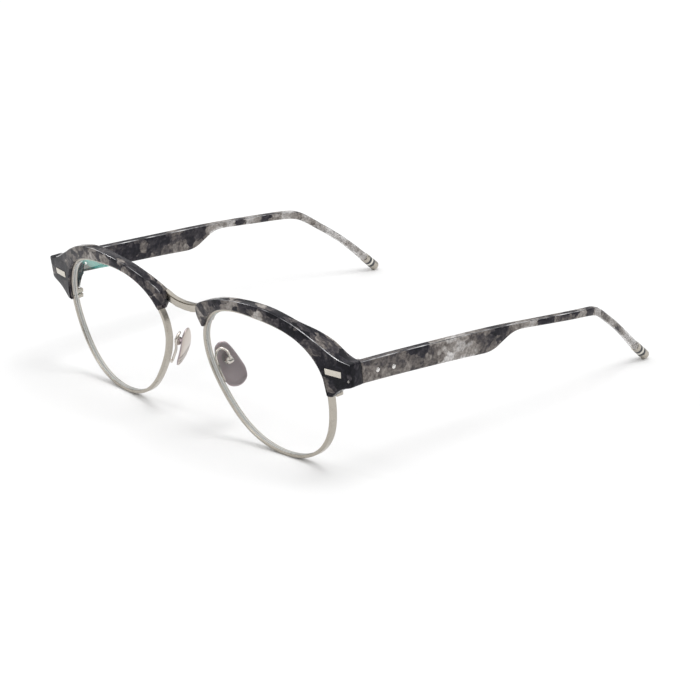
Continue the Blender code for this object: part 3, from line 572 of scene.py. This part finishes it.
TEMPLE_TONES_RIGHT = ((0.0, DARK), (0.12, DUSKY), (0.33, DUSKY), (0.38, PALE), (0.42, DUSKY), (0.48, DUSKY),
                      (0.51, CLEAR), (0.58, CLEAR), (0.61, DUSKY), (0.64, CLEAR), (0.69, PALE), (0.72, DUSKY),
                      (0.75, PALE), (0.8, CLEAR), (0.84, MIDDLE), (0.87, CLEAR), (0.9, MIDDLE), (0.93, CLEAR),
                      (1.0, CLEAR))
OPACITY = ((0.0, 1.0), (0.45, 1.0), (0.60, 0.84), (0.85, 0.55))
BROW_CHIPS = (3.6, 1.8, 3.0)
BROW_VARY = ((0.0, 0.42), (1.0, 0.42))
TEMPLE_CHIPS = (1.5, 4.2, 3.0)
TEMPLE_VARY = ((0.0, 0.06), (0.13, 0.1), (0.19, 0.34), (1.0, 0.34))
TEMPLE_VARY_RIGHT = ((0.0, 0.34), (1.0, 0.34))
MATERIALS = {
    "brow": acetate("brow_acetate", BROW_CHIPS, along_arch(1), BROW_TONES, None, BROW_VARY, 3.1),
    "brow_right": acetate("brow_acetate_right", BROW_CHIPS, along_arch(-1), BROW_TONES_RIGHT, None,
                          BROW_VARY, 9.4),
    "temple": acetate("temple_acetate", TEMPLE_CHIPS, along_temple, TEMPLE_TONES, OPACITY, TEMPLE_VARY, 5.3),
    "temple_right": acetate("temple_acetate_right", TEMPLE_CHIPS, along_temple, TEMPLE_TONES_RIGHT, OPACITY,
                            TEMPLE_VARY_RIGHT, 1.2),
    "metal": brushed("satin_silver", (0.485, 0.45, 0.395), 0.28, 0.12, (1, 1, 1)),
    "inlay": brushed("inlay_brushed", (0.66, 0.62, 0.55), 0.26, 0.16, (0.15, 1, 4)),
    "steel": brushed("screw_steel_polished", (0.78, 0.76, 0.74), 0.18, 0.10, (1, 1, 1)),
    "shiny": brushed("polished_silver", (0.66, 0.62, 0.57), 0.12, 0.08, (1, 1, 1)),
    "core": brushed("core_wire_metal", (0.30, 0.285, 0.27), 0.35, 0.12, (2, 0.1, 2)),
    "pad_face": brushed("pad_face_satin", (0.62, 0.56, 0.51), 0.30, 0.12, (1, 1, 1)),
    "pad_back": brushed("pad_back_satin", (0.42, 0.35, 0.365), 0.34, 0.14, (1, 1, 1)),
    "glint": glint_material(),
    "lens": lens_material(),
    "ground": enamel("ground_lens_edge", (0.55, 0.55, 0.53)),
    "ivory": enamel("band_ivory", (0.80, 0.77, 0.70)),
    "charcoal": enamel("band_charcoal", (0.035, 0.038, 0.045)),
}


# ------------------------------------------------------------------------------ the front's shape

def eye_radius(degrees):
    """How far the rim's middle line is from the eye's centre: the Fourier curve through EYE_RADII."""
    count = len(EYE_RADII)
    total = 0
    for index, radius in enumerate(EYE_RADII):
        turn = math.radians(degrees) - 2 * math.pi * index / count
        half = math.remainder(turn, 2 * math.pi) / 2
        total += radius if abs(half) < 1e-9 else radius * math.sin(count * half) / math.tan(half) / count
    return total


EYE_Z = RIM_HALF - min(eye_radius(angle) * math.sin(math.radians(angle)) for angle in range(240, 300))


def eye_point(degrees, out=0):
    reach = eye_radius(degrees) + out
    angle = math.radians(degrees)
    return EYE_X + reach * math.cos(angle), EYE_Z + reach * math.sin(angle)


def front_y(x, z):
    """The depth of the front's curved face."""
    across = x - EYE_X
    curved = min(across, FLAT_FROM)
    up = z - EYE_Z
    return (FRONT_Y + WRAP * curved + curved**2 / (2 * LENS_CURVE_X) + FLAT_SLOPE * (across - curved)
            - TILT * up + up**2 / (2 * LENS_CURVE_Z))


def butt_y(z):
    """The depth where the end piece stops and the temple starts."""
    return BUTT_Y + (BUTT_Z - z) * BUTT_LEAN


def butt_block(name, start, end):
    return plate(name, ((start, 28), (end, 28), (end, 45), (start, 45)), 16,
                 lambda y, z, w: (58 + w, butt_y(z) + y, z))


def on_front(start):
    return lambda x, z, w: (x, front_y(x, z) + start + w, z)


# ------------------------------------------------------------------------------ front pieces

def hoop(name, section, sides=200):
    """A ring round the eye: its section's points are (out from the middle line, depth from the front)."""
    rings = []
    for side in range(sides):
        angle = 360 * side / sides
        here = eye_point(angle)
        before, after = eye_point(angle - 0.5), eye_point(angle + 0.5)
        along = Vector((after[0] - before[0], after[1] - before[1])).normalized()
        rings.append([(here[0] + out * along.y, depth, here[1] - out * along.x) for out, depth in section])
    return grid(name, rings, lambda co: (co.x, front_y(co.x, co.z) + co.y, co.z), True)


def rounded_section(corners, radius, steps=4):
    """A closed outline with its corners rounded."""
    result = []
    count = len(corners)
    for index, corner in enumerate(corners):
        here = Vector(corner)
        to_before = (Vector(corners[index - 1]) - here).normalized()
        to_after = (Vector(corners[(index + 1) % count]) - here).normalized()
        start, end = here + to_before * radius, here + to_after * radius
        for step in range(steps + 1):
            t = step / steps
            point = start * (1 - t)**2 + here * 2 * t * (1 - t) + end * t**2
            result.append((point.x, point.y))
    return result


def make_eyewire():
    section = rounded_section(((RIM_HALF, 0), (-RIM_HALF, 0), (-RIM_HALF, 0.65),
                               (GROOVE_DEEP - RIM_HALF, RIM_DEPTH / 2), (-RIM_HALF, RIM_DEPTH - 0.65),
                               (-RIM_HALF, RIM_DEPTH), (RIM_HALF, RIM_DEPTH)), 0.17)
    ring = hoop("ring", section)
    middle = (LUG_LOW + LUG_HIGH) / 2
    cut(ring, box("split", (58.5, -5, middle - FINE_GAP), (65, 4, middle + FINE_GAP)))
    lugs = []
    for low, high in ((LUG_LOW, middle - FINE_GAP), (middle + FINE_GAP, LUG_HIGH)):
        lug = box("lug", (59.95, -1.5, low), (62.6, 1.3, high))
        bevel(lug, 0.35, 4)
        lugs.append(lug)
    tabs = []
    for angle in TAB_ANGLES:
        tab = plate("tab", tab_outline(angle, 0), 0.9, on_front(2.0))
        bevel(tab, 0.15)
        tabs.append(tab)
    return merge("rim_left", [ring, *lugs, *tabs])


def tab_outline(angle, grow):
    side = 1.4 + grow
    turn = math.radians(angle)
    corners = []
    for across, out in ((-side, 0), (side, 0), (side, 3.0 + grow), (-side, 3.0 + grow)):
        x, z = eye_point(angle, out)
        corners.append((x - across * math.sin(turn), z + across * math.cos(turn)))
    return corners


def make_brow():
    out, first, last = BROW_LOW
    count = 90
    low_edge = [eye_point(first + (last - first) * step / count, out) for step in range(count + 1)]
    nose = smooth(BROW_NOSE, 6)
    top = smooth((BROW_NOSE[-1],) + BROW_TOP + ((END_X, 40.6),), 6)[1:-1]
    end = smooth(BROW_END[1:], 4)
    tip = [tuple(a * (1 - t) ** 2 + 2 * b * t * (1 - t) + c * t * t
                 for a, b, c in zip(low_edge[-3], low_edge[-1], nose[2])) for t in steps_between(0, 1, 0.12)]
    outline = low_edge[:-3] + tip + nose[3:] + top + [BROW_END[0]] + end[:-1]

    def place(x, z, w):
        front = front_y(x, z) - BROW_LIP
        into_end = ramp(x, 49, 62.5) * ramp(z, 29, 33)
        back = (1 - into_end) * (front + BROW_DEPTH) + into_end * (butt_y(z) + 0.2)
        return x, front + (back - front) * w, z

    brow = plate("brow_acetate_left", outline, 1, place, steps_between(11, 69, 1.5))
    bevel(brow, BROW_EDGE, 4)
    cut(brow, butt_block("butt", 0, 9))
    over = RIM_HALF + 0.06
    cut(brow, hoop("groove", ((over, -0.06), (-3, -0.06), (-3, 12), (over, 12))))
    cut(brow, bridge_solid("bridge_pocket", 0.06))
    for angle in TAB_ANGLES:
        cut(brow, plate("tab_pocket", tab_outline(angle, 0.1), 5, on_front(1.9)))
    cut(brow, box("lug_pocket", (59, -1.8, 24), (62.9, 3, LUG_HIGH + 0.9)))
    cut(brow, box("hinge_pocket", (LEAF_X[0] - GAP, LEAF_Y - GAP, HINGE_LOW - GAP),
                  (HINGE[0] + BARREL_R + GAP, 6, HINGE_HIGH + 0.7)))
    cut(brow, plaque_solid("plaque_pocket", 0.03))
    return settle(brow)


def plaque_solid(name, grow):
    corners = ((61.1 - grow, 35.4 - grow), (66.8 + grow, 35.3 - grow), (67.0 + grow, 37.5 + grow),
               (61.1 - grow, 37.5 + grow))
    front = -BROW_LIP - (1 if grow else PLAQUE_PROUD)
    back = -BROW_LIP - PLAQUE_PROUD + PLAQUE_THICK + grow
    return plate(name, corners, back - front, on_front(front))


def make_plaque():
    plaque = plaque_solid("inlay_left", 0)
    bevel(plaque, 0.14)
    return settle(plaque)


def bridge_front(z):
    return -8.0 - TILT * (z - 42.5) * 0.6


def bridge_solid(name, grow):
    top = smooth(((0, 43.5), (4.2, 43.9), (8, 45.1), (11.5, 46.1), (13.6, 46.4)), 6)
    low = smooth(((0, 40.7), (3.5, 40.9), (6.3, 41.5), (9, 41.6), (10.8, 40.7)), 6)
    foot = [eye_point(angle, -0.1) for angle in (140, 143, 146, 149)]
    right = ([(x, z - grow) for x, z in low] + [(x + grow, z) for x, z in foot[::-1]]
             + [(x, z + grow) for x, z in top[::-1]])
    outline = right + [(-x, z) for x, z in right[::-1] if x > 0]

    def place(x, z, w):
        near = abs(x)
        into_foot = ramp(near, 6, 10.5)
        front = (1 - into_foot) * bridge_front(z) + into_foot * (front_y(near, z) + RIM_DEPTH + 0.06)
        thick = 2.0 - 0.9 * into_foot
        return x, front - grow + (8 if grow else thick) * w, z

    return plate(name, outline, 1, place, steps_between(-13, 13, 1))


def make_bridge():
    bridge = bridge_solid("bridge_bar", 0)
    bevel(bridge, 0.3, 4)
    line = smooth(((-9.0, 45.3), (-7.4, 44.6), (-4, 43.6), (0, 43.25), (4, 43.6), (7.4, 44.6),
                   (9.0, 45.3)), 8)
    cut(bridge, plate("line", ribbon(line, 0.21), 2, lambda x, z, w: (x, bridge_front(z) - 1.5 + w, z),
                      steps_between(-8, 8, 1)))
    return settle(bridge)


def make_lens():
    """A disc of two curved faces that meet in a V edge."""
    edge = -RIM_HALF - 0.05
    low, high = 0.5, RIM_DEPTH - 0.5
    apex = edge + 0.42
    share = (0.002, 0.1, 0.2, 0.3, 0.4, 0.5, 0.6, 0.7, 0.8, 0.88, 0.94, 0.98)
    rows = [(s, low) for s in share] + [(None, edge, low), (None, edge, 0.9), (None, apex, RIM_DEPTH / 2),
                                        (None, edge, 1.4), (None, edge, high)]
    rows += [(s, high) for s in share[::-1]]
    sides = 128
    rings = []
    for row in rows:
        ring = []
        for side in range(sides):
            angle = 360 * side / sides
            if row[0] is None:
                x, z = eye_point(angle, row[1])
                depth = row[2]
            else:
                x, z = eye_point(angle, edge - (1 - row[0]) * (eye_radius(angle) + edge))
                depth = row[1]
            ring.append((x, depth, z))
        rings.append(ring)
    lens = grid("lens_clear_left", rings, lambda co: (co.x, front_y(co.x, co.z) + co.y, co.z))
    lens.data.materials.append(MATERIALS["lens"])
    lens.data.materials.append(MATERIALS["ground"])
    edge = range(len(share) * sides, (len(share) + 4) * sides)
    for face in lens.data.polygons:
        face.material_index = int(all(vertex in edge or vertex - sides in edge for vertex in face.vertices))
    return lens


def screw(name, head_r, head_high, long, shank_r, base, direction, slot=True):
    """A round-headed screw, its head slotted; base is the shank's end."""
    dome = [(head_r * math.sin(turn), long + head_high * (0.45 + 0.55 * math.cos(turn)))
            for turn in (math.radians(step) for step in (0, 15, 30, 45, 60, 75, 90))]
    made = lathe(name, (*dome, (head_r, long + 0.06), (head_r - 0.06, long), (shank_r, long), (shank_r, 0.1),
                        (shank_r - 0.1, 0)), base, direction)
    if slot:
        turn = Vector(direction).to_track_quat("Z", "Y")
        top = long + head_high
        cut(made, box("slot", (-0.14, -2, top - 0.28), (0.14, 2, top + 1),
                      lambda co: turn @ co + Vector(base)))
    return settle(made)


def make_lock_screw():
    return screw("rim_screw_left", 0.95, 0.45, LUG_HIGH + 0.02 - LUG_LOW, SCREW_R, (*LOCK_SCREW, LUG_LOW),
                 (0, 0, 1))


def make_end_rivet():
    x, z = END_PIN
    y = front_y(x, z) - BROW_LIP
    return rod("end_pin_left", (x, y - 0.04, z), (x, y + 2.2, z), 0.5)


def make_hinge_screw():
    return screw("hinge_pin_left", 1.05, 0.5, HINGE_HIGH + 0.05 - HINGE_LOW, SCREW_R, (*HINGE, HINGE_LOW),
                 (0, 0, 1))


# ------------------------------------------------------------------------------ temple

def temple_inner(y):
    return glide(TEMPLE_OUTER, y) - glide(TEMPLE_THICK, y)


def in_temple(y, z, w):
    slimmer = 0.15 * ramp(y, 90, 110)
    return temple_inner(y) + slimmer + (glide(TEMPLE_THICK, y) - slimmer) * w, y, z


TIP_AXIS = Vector((0, math.cos(TIP_SLOPE), -math.sin(TIP_SLOPE)))
TIP_LONG = GAP + RING_LONG + GAP + CAP_LONG
TIP_Z = CAP_R * math.cos(TIP_SLOPE) + (TIP_LONG - CAP_EDGE) * math.sin(TIP_SLOPE)
RIVETS = ((8.2, 35.8), (15.2, 35.0))


def tip_base(along):
    middle = temple_inner(TIP_Y) + glide(TEMPLE_THICK, TIP_Y) / 2
    return Vector((middle, TIP_Y, TIP_Z)) + TIP_AXIS * along


def make_temple():
    over = 1.5
    end = Vector((TIP_Y, TIP_Z)) + Vector((TIP_AXIS.y, TIP_AXIS.z)) * over
    across = Vector((math.sin(TIP_SLOPE), math.cos(TIP_SLOPE))) * TIP_HALF
    top = smooth(((BUTT_Y - over, BUTT_TOP_Z),) + TEMPLE_TOP + (tuple(end + across),), 8)
    low = smooth((tuple(end - across),) + TEMPLE_LOW + ((BUTT_Y - over, BUTT_LOW_Z),), 8)
    temple = plate("temple_acetate_left", top + low, 1, in_temple, steps_between(4, 140, 2))
    bevel(temple, TEMPLE_EDGE, 4)
    cut(temple, butt_block("butt", -8, 0.12))
    cut(temple, rod("tip_face", tip_base(0.12), tip_base(6), 5))
    cut(temple, rod("hinge_notch", (*HINGE, HINGE_LOW - GAP), (*HINGE, HINGE_HIGH + 0.7), BARREL_R + 0.25))
    for y, z in RIVETS:
        face = glide(TEMPLE_OUTER, y)
        cut(temple, rod("rivet_seat", (face - 0.55, y, z), (face + 3, y, z), 0.93))
    return settle(temple)


def make_core_wire():
    tip = Vector((TIP_Y, TIP_Z))
    along = Vector((TIP_AXIS.y, TIP_AXIS.z))
    path = smooth(CORE_PATH + (tuple(tip + along * 0.5),), 8)
    core = plate("core_wire_look_left", ribbon(path, CORE_HIGH / 2), CORE_THICK,
                 lambda y, z, w: (temple_inner(y) + glide(TEMPLE_THICK, y) / 2 - CORE_THICK / 2 + w, y, z),
                 steps_between(6, 140, 2))
    bevel(core, 0.15, 2)
    return settle(core)


def make_rivets():
    rivets = []
    for where, (y, z) in zip(("front", "rear"), RIVETS):
        face = glide(TEMPLE_OUTER, y)
        foot = temple_inner(10) - GAP - LEAF_THICK - 0.05
        long = face - 0.5 - foot
        rivets.append(screw(f"rivet_{where}_left", 0.88, 0.66, long, 0.55, (foot, y, z), (1, 0, 0), False))
    return rivets


def make_ring():
    outer = CAP_R - 0.06
    profile = ((0.5, RING_LONG + 0.2), (outer - 0.1, RING_LONG + 0.2), (outer, RING_LONG + 0.1), (outer, 0.0),
               (outer - 0.12, -0.14), (0.5, -0.14))
    return lathe("tip_collar_left", profile, tip_base(GAP), TIP_AXIS)


CAP_BANDS = (("charcoal", 1.15), ("ivory", 0.95), ("charcoal", 1.15))


def make_cap():
    """The end cap: shallow enamelled bands, then a rounded metal end. Each band has its material."""
    inner = CAP_R - 0.07
    profile = [(0.6, -0.1), (inner - 0.08, -0.1), (inner, 0.0)]
    at = 0.15
    edges = []
    for _, long in CAP_BANDS:
        profile += [(inner, at), (inner + 0.03, at + 0.05), (inner + 0.03, at + long - 0.05),
                    (inner, at + long)]
        edges.append((at, at + long))
        at += long
    end = CAP_LONG - 0.13
    profile += [(CAP_R, at + 0.08), (CAP_R, end - CAP_EDGE)]
    profile += [(CAP_R - CAP_EDGE + CAP_EDGE * math.cos(turn), end - CAP_EDGE + CAP_EDGE * math.sin(turn))
                for turn in (math.radians(step) for step in (20, 40, 60, 75, 90))]
    profile.append((0.002, end))
    cap = lathe("tip_cap_look_left", profile[::-1], tip_base(GAP + RING_LONG + GAP), TIP_AXIS)
    base = (tip_base(GAP + RING_LONG + GAP) - Vector((0, ORIGIN_BEHIND_RIMS, 0))) * MM
    cap.data.materials.append(MATERIALS["metal"])
    names = sorted({band for band, _ in CAP_BANDS})
    for name in names:
        cap.data.materials.append(MATERIALS[name])
    for face in cap.data.polygons:
        middle = (face.center - base).dot(TIP_AXIS) / MM
        for (band, _), (low, high) in zip(CAP_BANDS, edges):
            if low + 0.001 < middle < high - 0.001:
                face.material_index = 1 + names.index(band)
    return cap


# ------------------------------------------------------------------------------ nose pad

def on_pad(across, along, out):
    return PAD_CENTRE + PAD_ACROSS * across + PAD_ALONG * along + PAD_OUT * out


def make_nose_pad():
    """A thin oval with rounded edges; its face towards the nose has fine lines near the lower end."""
    outline = smooth(PAD_OUTLINE, 6, closed=True)
    shares = (0.002, 0.15, 0.3, 0.45, 0.6, 0.72, 0.82, 0.9, 0.95, 0.98, 0.995, 1.0)

    def half_thick(share):
        return PAD_THICK / 2 * (0.16 + 0.84 * math.sqrt(max(0, 1 - share**7)))

    rows = [(share, half_thick(share)) for share in shares]
    rows += [(share, -half_thick(share)) for share in shares[::-1]]
    rings = []
    for share, rise in rows:
        ring = []
        for u, v in outline:
            u, v = u * share, v * share
            ring.append(on_pad(u, v, rise + (u**2 + v**2) * PAD_DISH))
        rings.append(ring)
    pad = grid("pad_plate", rings, lambda co: co)
    for v in PAD_LINES:
        line = smooth(((-5, v - 0.25), (0, v), (5, v + 0.25)), 8)
        cut(pad, plate("line", ribbon(line, 0.28), 0.9,
                       lambda u, w, d: on_pad(u, w, -PAD_THICK / 2 - 0.65 + d + (u**2 + w**2) * PAD_DISH),
                       steps_between(-4, 4, 1)))
    along, out = PAD_BOX
    lug = box("lug", (-0.75, along - 0.7, 0.2), (0.75, along + 0.7, out + 0.5), lambda co: on_pad(*co))
    bevel(lug, 0.3)
    return merge("nose_pad_look_left", [pad, lug])


def paint_pad(pad):
    """Gives the nose side and the outer side their own finishes, and the engraved lines a darker metal as
    painted shade in the grooves.
    """
    flip = Vector((-1 if pad.name.endswith("right") else 1, 1, 1))
    centre = (PAD_CENTRE - Vector((0, ORIGIN_BEHIND_RIMS, 0))) * flip
    across, along, outward = PAD_ACROSS * flip, PAD_ALONG * flip, PAD_OUT * flip
    pad.data.materials.clear()
    for name in ("pad_back", "pad_face", "core"):
        pad.data.materials.append(MATERIALS[name])
    for face in pad.data.polygons:
        reach = face.center / MM - centre
        u, v, out = reach.dot(across), reach.dot(along), reach.dot(outward)
        depth = out + PAD_THICK / 2 - (u**2 + v**2) * PAD_DISH
        # Painted shade: the faces in the engraved grooves get the darker core metal.
        if 0.03 < depth < 0.5 and min(abs(v - line - u * 0.05) for line in PAD_LINES) < 0.2:
            face.material_index = 2
        elif face.normal.dot(outward) < -0.2:
            face.material_index = 1


def make_pad_arm():
    along, out = PAD_BOX
    top = on_pad(0, along, out + 1.3)
    rod_part = wire("arm", smooth(PAD_ARM_PATH + (tuple(top),), 8), 0.45)
    foot = Vector(PAD_ARM_PATH[0])
    solder = wire("solder", (foot + Vector((-0.25, -0.55, 0.4)), foot + Vector((0.05, -0.3, -0.5))), 0.42)
    fork = box("fork", (-1.3, along - 1.2, out - 0.9), (1.3, along + 1.2, out + 1.6), lambda co: on_pad(*co))
    bevel(fork, 0.95, 6)
    cut(fork, box("slot", (-0.92, along - 2, out - 2), (0.92, along + 2, out + 1.0), lambda co: on_pad(*co)))
    return merge("pad_arm_look_left", [rod_part, fork, solder])


def make_pad_screw():
    along, out = PAD_BOX
    return screw("pad_screw_look_left", 0.6, 0.3, 2.68, 0.34, on_pad(1.34, along, out), -PAD_ACROSS, False)


# ------------------------------------------------------------------------------ assembly

def dress(obj, material, body, slot, cad_node):
    if material:
        obj.data.materials.clear()
        obj.data.materials.append(MATERIALS[material])
    # The acetate pieces get a painted highlight, the glint, on their rounded upper edges.
    if slot in ("acetate_front", "acetate_temple"):
        paint_glint(obj)
    obj.data.shade_smooth()
    obj.data.set_sharp_from_angle(angle=math.radians(32))
    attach(obj, body)
    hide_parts(cad_node)


# The faces that get the painted glint: how far out they turn, from and to, and the largest.
GLINT_OUT = (0.44, 0.68)
GLINT_AREA = 4 * MM * MM


def paint_glint(obj):
    """Gives the rounded upper edges their painted glint: the small faces that lean up and part of the way
    out.
    """
    on_temple = obj.name.startswith("temple")
    obj.data.materials.append(MATERIALS["glint"])
    for face in obj.data.polygons:
        out = abs(face.normal.x) if on_temple else -face.normal.y
        if GLINT_OUT[0] < out < GLINT_OUT[1] and face.normal.z > 0.25 and face.area < GLINT_AREA:
            face.material_index = 1


def mirrored(obj):
    mesh = obj.data.copy()
    mesh.transform(Matrix.Scale(-1, 4, (1, 0, 0)))
    mesh.flip_normals()
    twin = bpy.data.objects.new(obj.name.replace("left", "right"), mesh)
    bpy.context.scene.collection.objects.link(twin)
    return twin


PIECES = (
    (make_brow, "brow", "front", "acetate_front", ("brow",)),
    (make_eyewire, "metal", "front", "satin_metal", ("eyewire",)),
    (make_lens, None, "front", "demo_lens", ("lens",)),
    (make_plaque, "inlay", "front", "inlay_metal", ("plaque",)),
    (make_lock_screw, "steel", "front", "screw_steel", ("lock_screw",)),
    (make_end_rivet, "core", "front", "screw_steel", ("end_rivet",)),
    (make_hinge_screw, "steel", "front", "screw_steel", ("hinge_screw",)),
    (make_pad_arm, "shiny", "front", "satin_metal", ("pad_arm",)),
    (make_pad_screw, "shiny", "front", "screw_steel", ("pad_screw",)),
    (make_nose_pad, None, "pad", "pad_titanium", ("nose_pad",)),
    (make_temple, "temple", "temple", "acetate_temple", ("temple",)),
    (make_core_wire, "core", "temple", "satin_metal", ("core_wire",)),
    (make_rivets, "steel", "temple", "screw_steel", ("temple_rivet_front", "temple_rivet_rear")),
    (make_ring, "metal", "temple", "ring_enamel", ("tip_ring",)),
    (make_cap, None, "temple", "cap_enamel", ("tip_cap",)),
)
for make, material, body, slot, nodes in PIECES:
    made = make()
    for piece, cad_node in zip(made if isinstance(made, list) else [made], nodes):
        for side, obj in (("left", piece), ("right", mirrored(piece))):
            # A clear lens casts no shadow of its own.
            obj.visible_shadow = make is not make_lens
            look = material
            if side == "right" and material in ("brow", "temple"):
                look = f"{material}_right"
            if make is make_nose_pad:
                paint_pad(obj)
            dress(obj, look, body if body == "front" else f"{side}_{body}", slot, f"{cad_node}_{side}")

dress(make_bridge(), "metal", "front", "satin_metal", "bridge")

for side in ("left", "right"):
    for name in ("hinge_front_leaf", "hinge_temple_leaf", "brow_screw_outer", "brow_screw_inner"):
        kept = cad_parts[f"{name}_{side}"]
        kept.data.materials.clear()
        kept.data.materials.append(MATERIALS["core" if "leaf" in name else "steel"])
        if "leaf" in name:
            edges = kept.modifiers.new("edges", "BEVEL")
            edges.width = 0.1 * MM
            edges.segments = 2
            edges.limit_method = "ANGLE"
            edges.angle_limit = math.radians(50)


# ------------------------------------------------------------------------------ stage

# The key light's place, and how white the floor is by the distance in metres from under it.
KEY_PLACE = (0.164, -0.01, 0.57)
FLOOR_WHITE = ((0.0, 0.80), (0.2, 0.835), (0.4, 0.905), (0.65, 0.965), (0.95, 0.985))
FLOOR_REACH = 6.0
# The sky's brightness by direction, from straight down to straight up.
SKY = ((0.0, 0.80), (0.50, 0.10), (0.56, 0.14), (0.65, 0.55), (0.72, 0.98), (1.0, 1.06))
AZIMUTH, ELEVATION, ROLL = (math.radians(value) for value in (44.15, 21.12, 0.58))
CAMERA_PLACE = (0.589, -0.6067, 0.3332)


def stage_material():
    """A white floor, a little darker where the key light is strongest, so that it looks even."""
    material, tree, shader = new_material("floor_white")
    place = node(tree, "ShaderNodeTexCoord").outputs["Object"]
    away = node(tree, "ShaderNodeVectorMath", {0: place, 1: (*KEY_PLACE[:2], 0)}, operation="DISTANCE")
    white = colour_ramp(tree, away.outputs[1], FLOOR_WHITE)
    tree.links.new(white, shader.inputs["Base Color"])
    shader.inputs["Roughness"].default_value = 0.9
    shader.inputs["Specular IOR Level"].default_value = 0.0
    return material


floor_mesh = bpy.data.meshes.new("floor")
corners = [(FLOOR_REACH * x, FLOOR_REACH * y, 0) for x, y in ((-1, -1), (1, -1), (1, 1), (-1, 1))]
floor_mesh.from_pydata(corners, [], [(0, 1, 2, 3)])
floor = bpy.data.objects.new("floor", floor_mesh)
floor.location.z = -0.00005
floor.data.materials.append(stage_material())
bpy.context.scene.collection.objects.link(floor)


def area_light(name, place, target, size, power):
    data = bpy.data.lights.new(name, "AREA")
    data.shape = "DISK"
    data.size = size
    data.energy = power
    light = bpy.data.objects.new(name, data)
    light.location = place
    light.rotation_mode = "QUATERNION"
    light.rotation_quaternion = (Vector(target) - Vector(place)).to_track_quat("-Z", "Y")
    bpy.context.scene.collection.objects.link(light)


area_light("key", KEY_PLACE, (0.0, 0.0, 0.0), 0.28, 1.0)
area_light("edge", (-0.585, -0.42, 0.62), (0.0, -0.05, 0.03), 0.1, 0.45)

world = bpy.data.worlds.new("studio")
bpy.context.scene.world = world
world.use_nodes = True
sky = world.node_tree
direction = node(sky, "ShaderNodeTexCoord").outputs["Generated"]
height = node(sky, "ShaderNodeSeparateXYZ", {0: direction}).outputs[2]
tone = colour_ramp(sky, maths(sky, "ADD", maths(sky, "MULTIPLY", height, 0.5), 0.5), SKY)
seen = node(sky, "ShaderNodeLightPath").outputs["Is Camera Ray"]
background = sky.nodes["Background"]
sky.links.new(blend(sky, seen, tone, 1.0), background.inputs["Color"])
background.inputs["Strength"].default_value = 1.07
bpy.context.scene.view_settings.view_transform = "Standard"

camera_data = bpy.data.cameras.new("camera")
camera_data.lens = 136.48
camera_data.sensor_width = 36
camera_data.clip_start = 0.05
camera = bpy.data.objects.new("camera", camera_data)
back = Vector((math.sin(AZIMUTH) * math.cos(ELEVATION), -math.cos(AZIMUTH) * math.cos(ELEVATION),
               math.sin(ELEVATION)))
level = Vector((math.cos(AZIMUTH), math.sin(AZIMUTH), 0))
upright = back.cross(level)
right = level * math.cos(ROLL) + upright * math.sin(ROLL)
above = upright * math.cos(ROLL) - level * math.sin(ROLL)
camera.matrix_world = Matrix.Translation(CAMERA_PLACE) @ Matrix((right, above, back)).transposed().to_4x4()
bpy.context.scene.collection.objects.link(camera)
bpy.context.scene.camera = camera
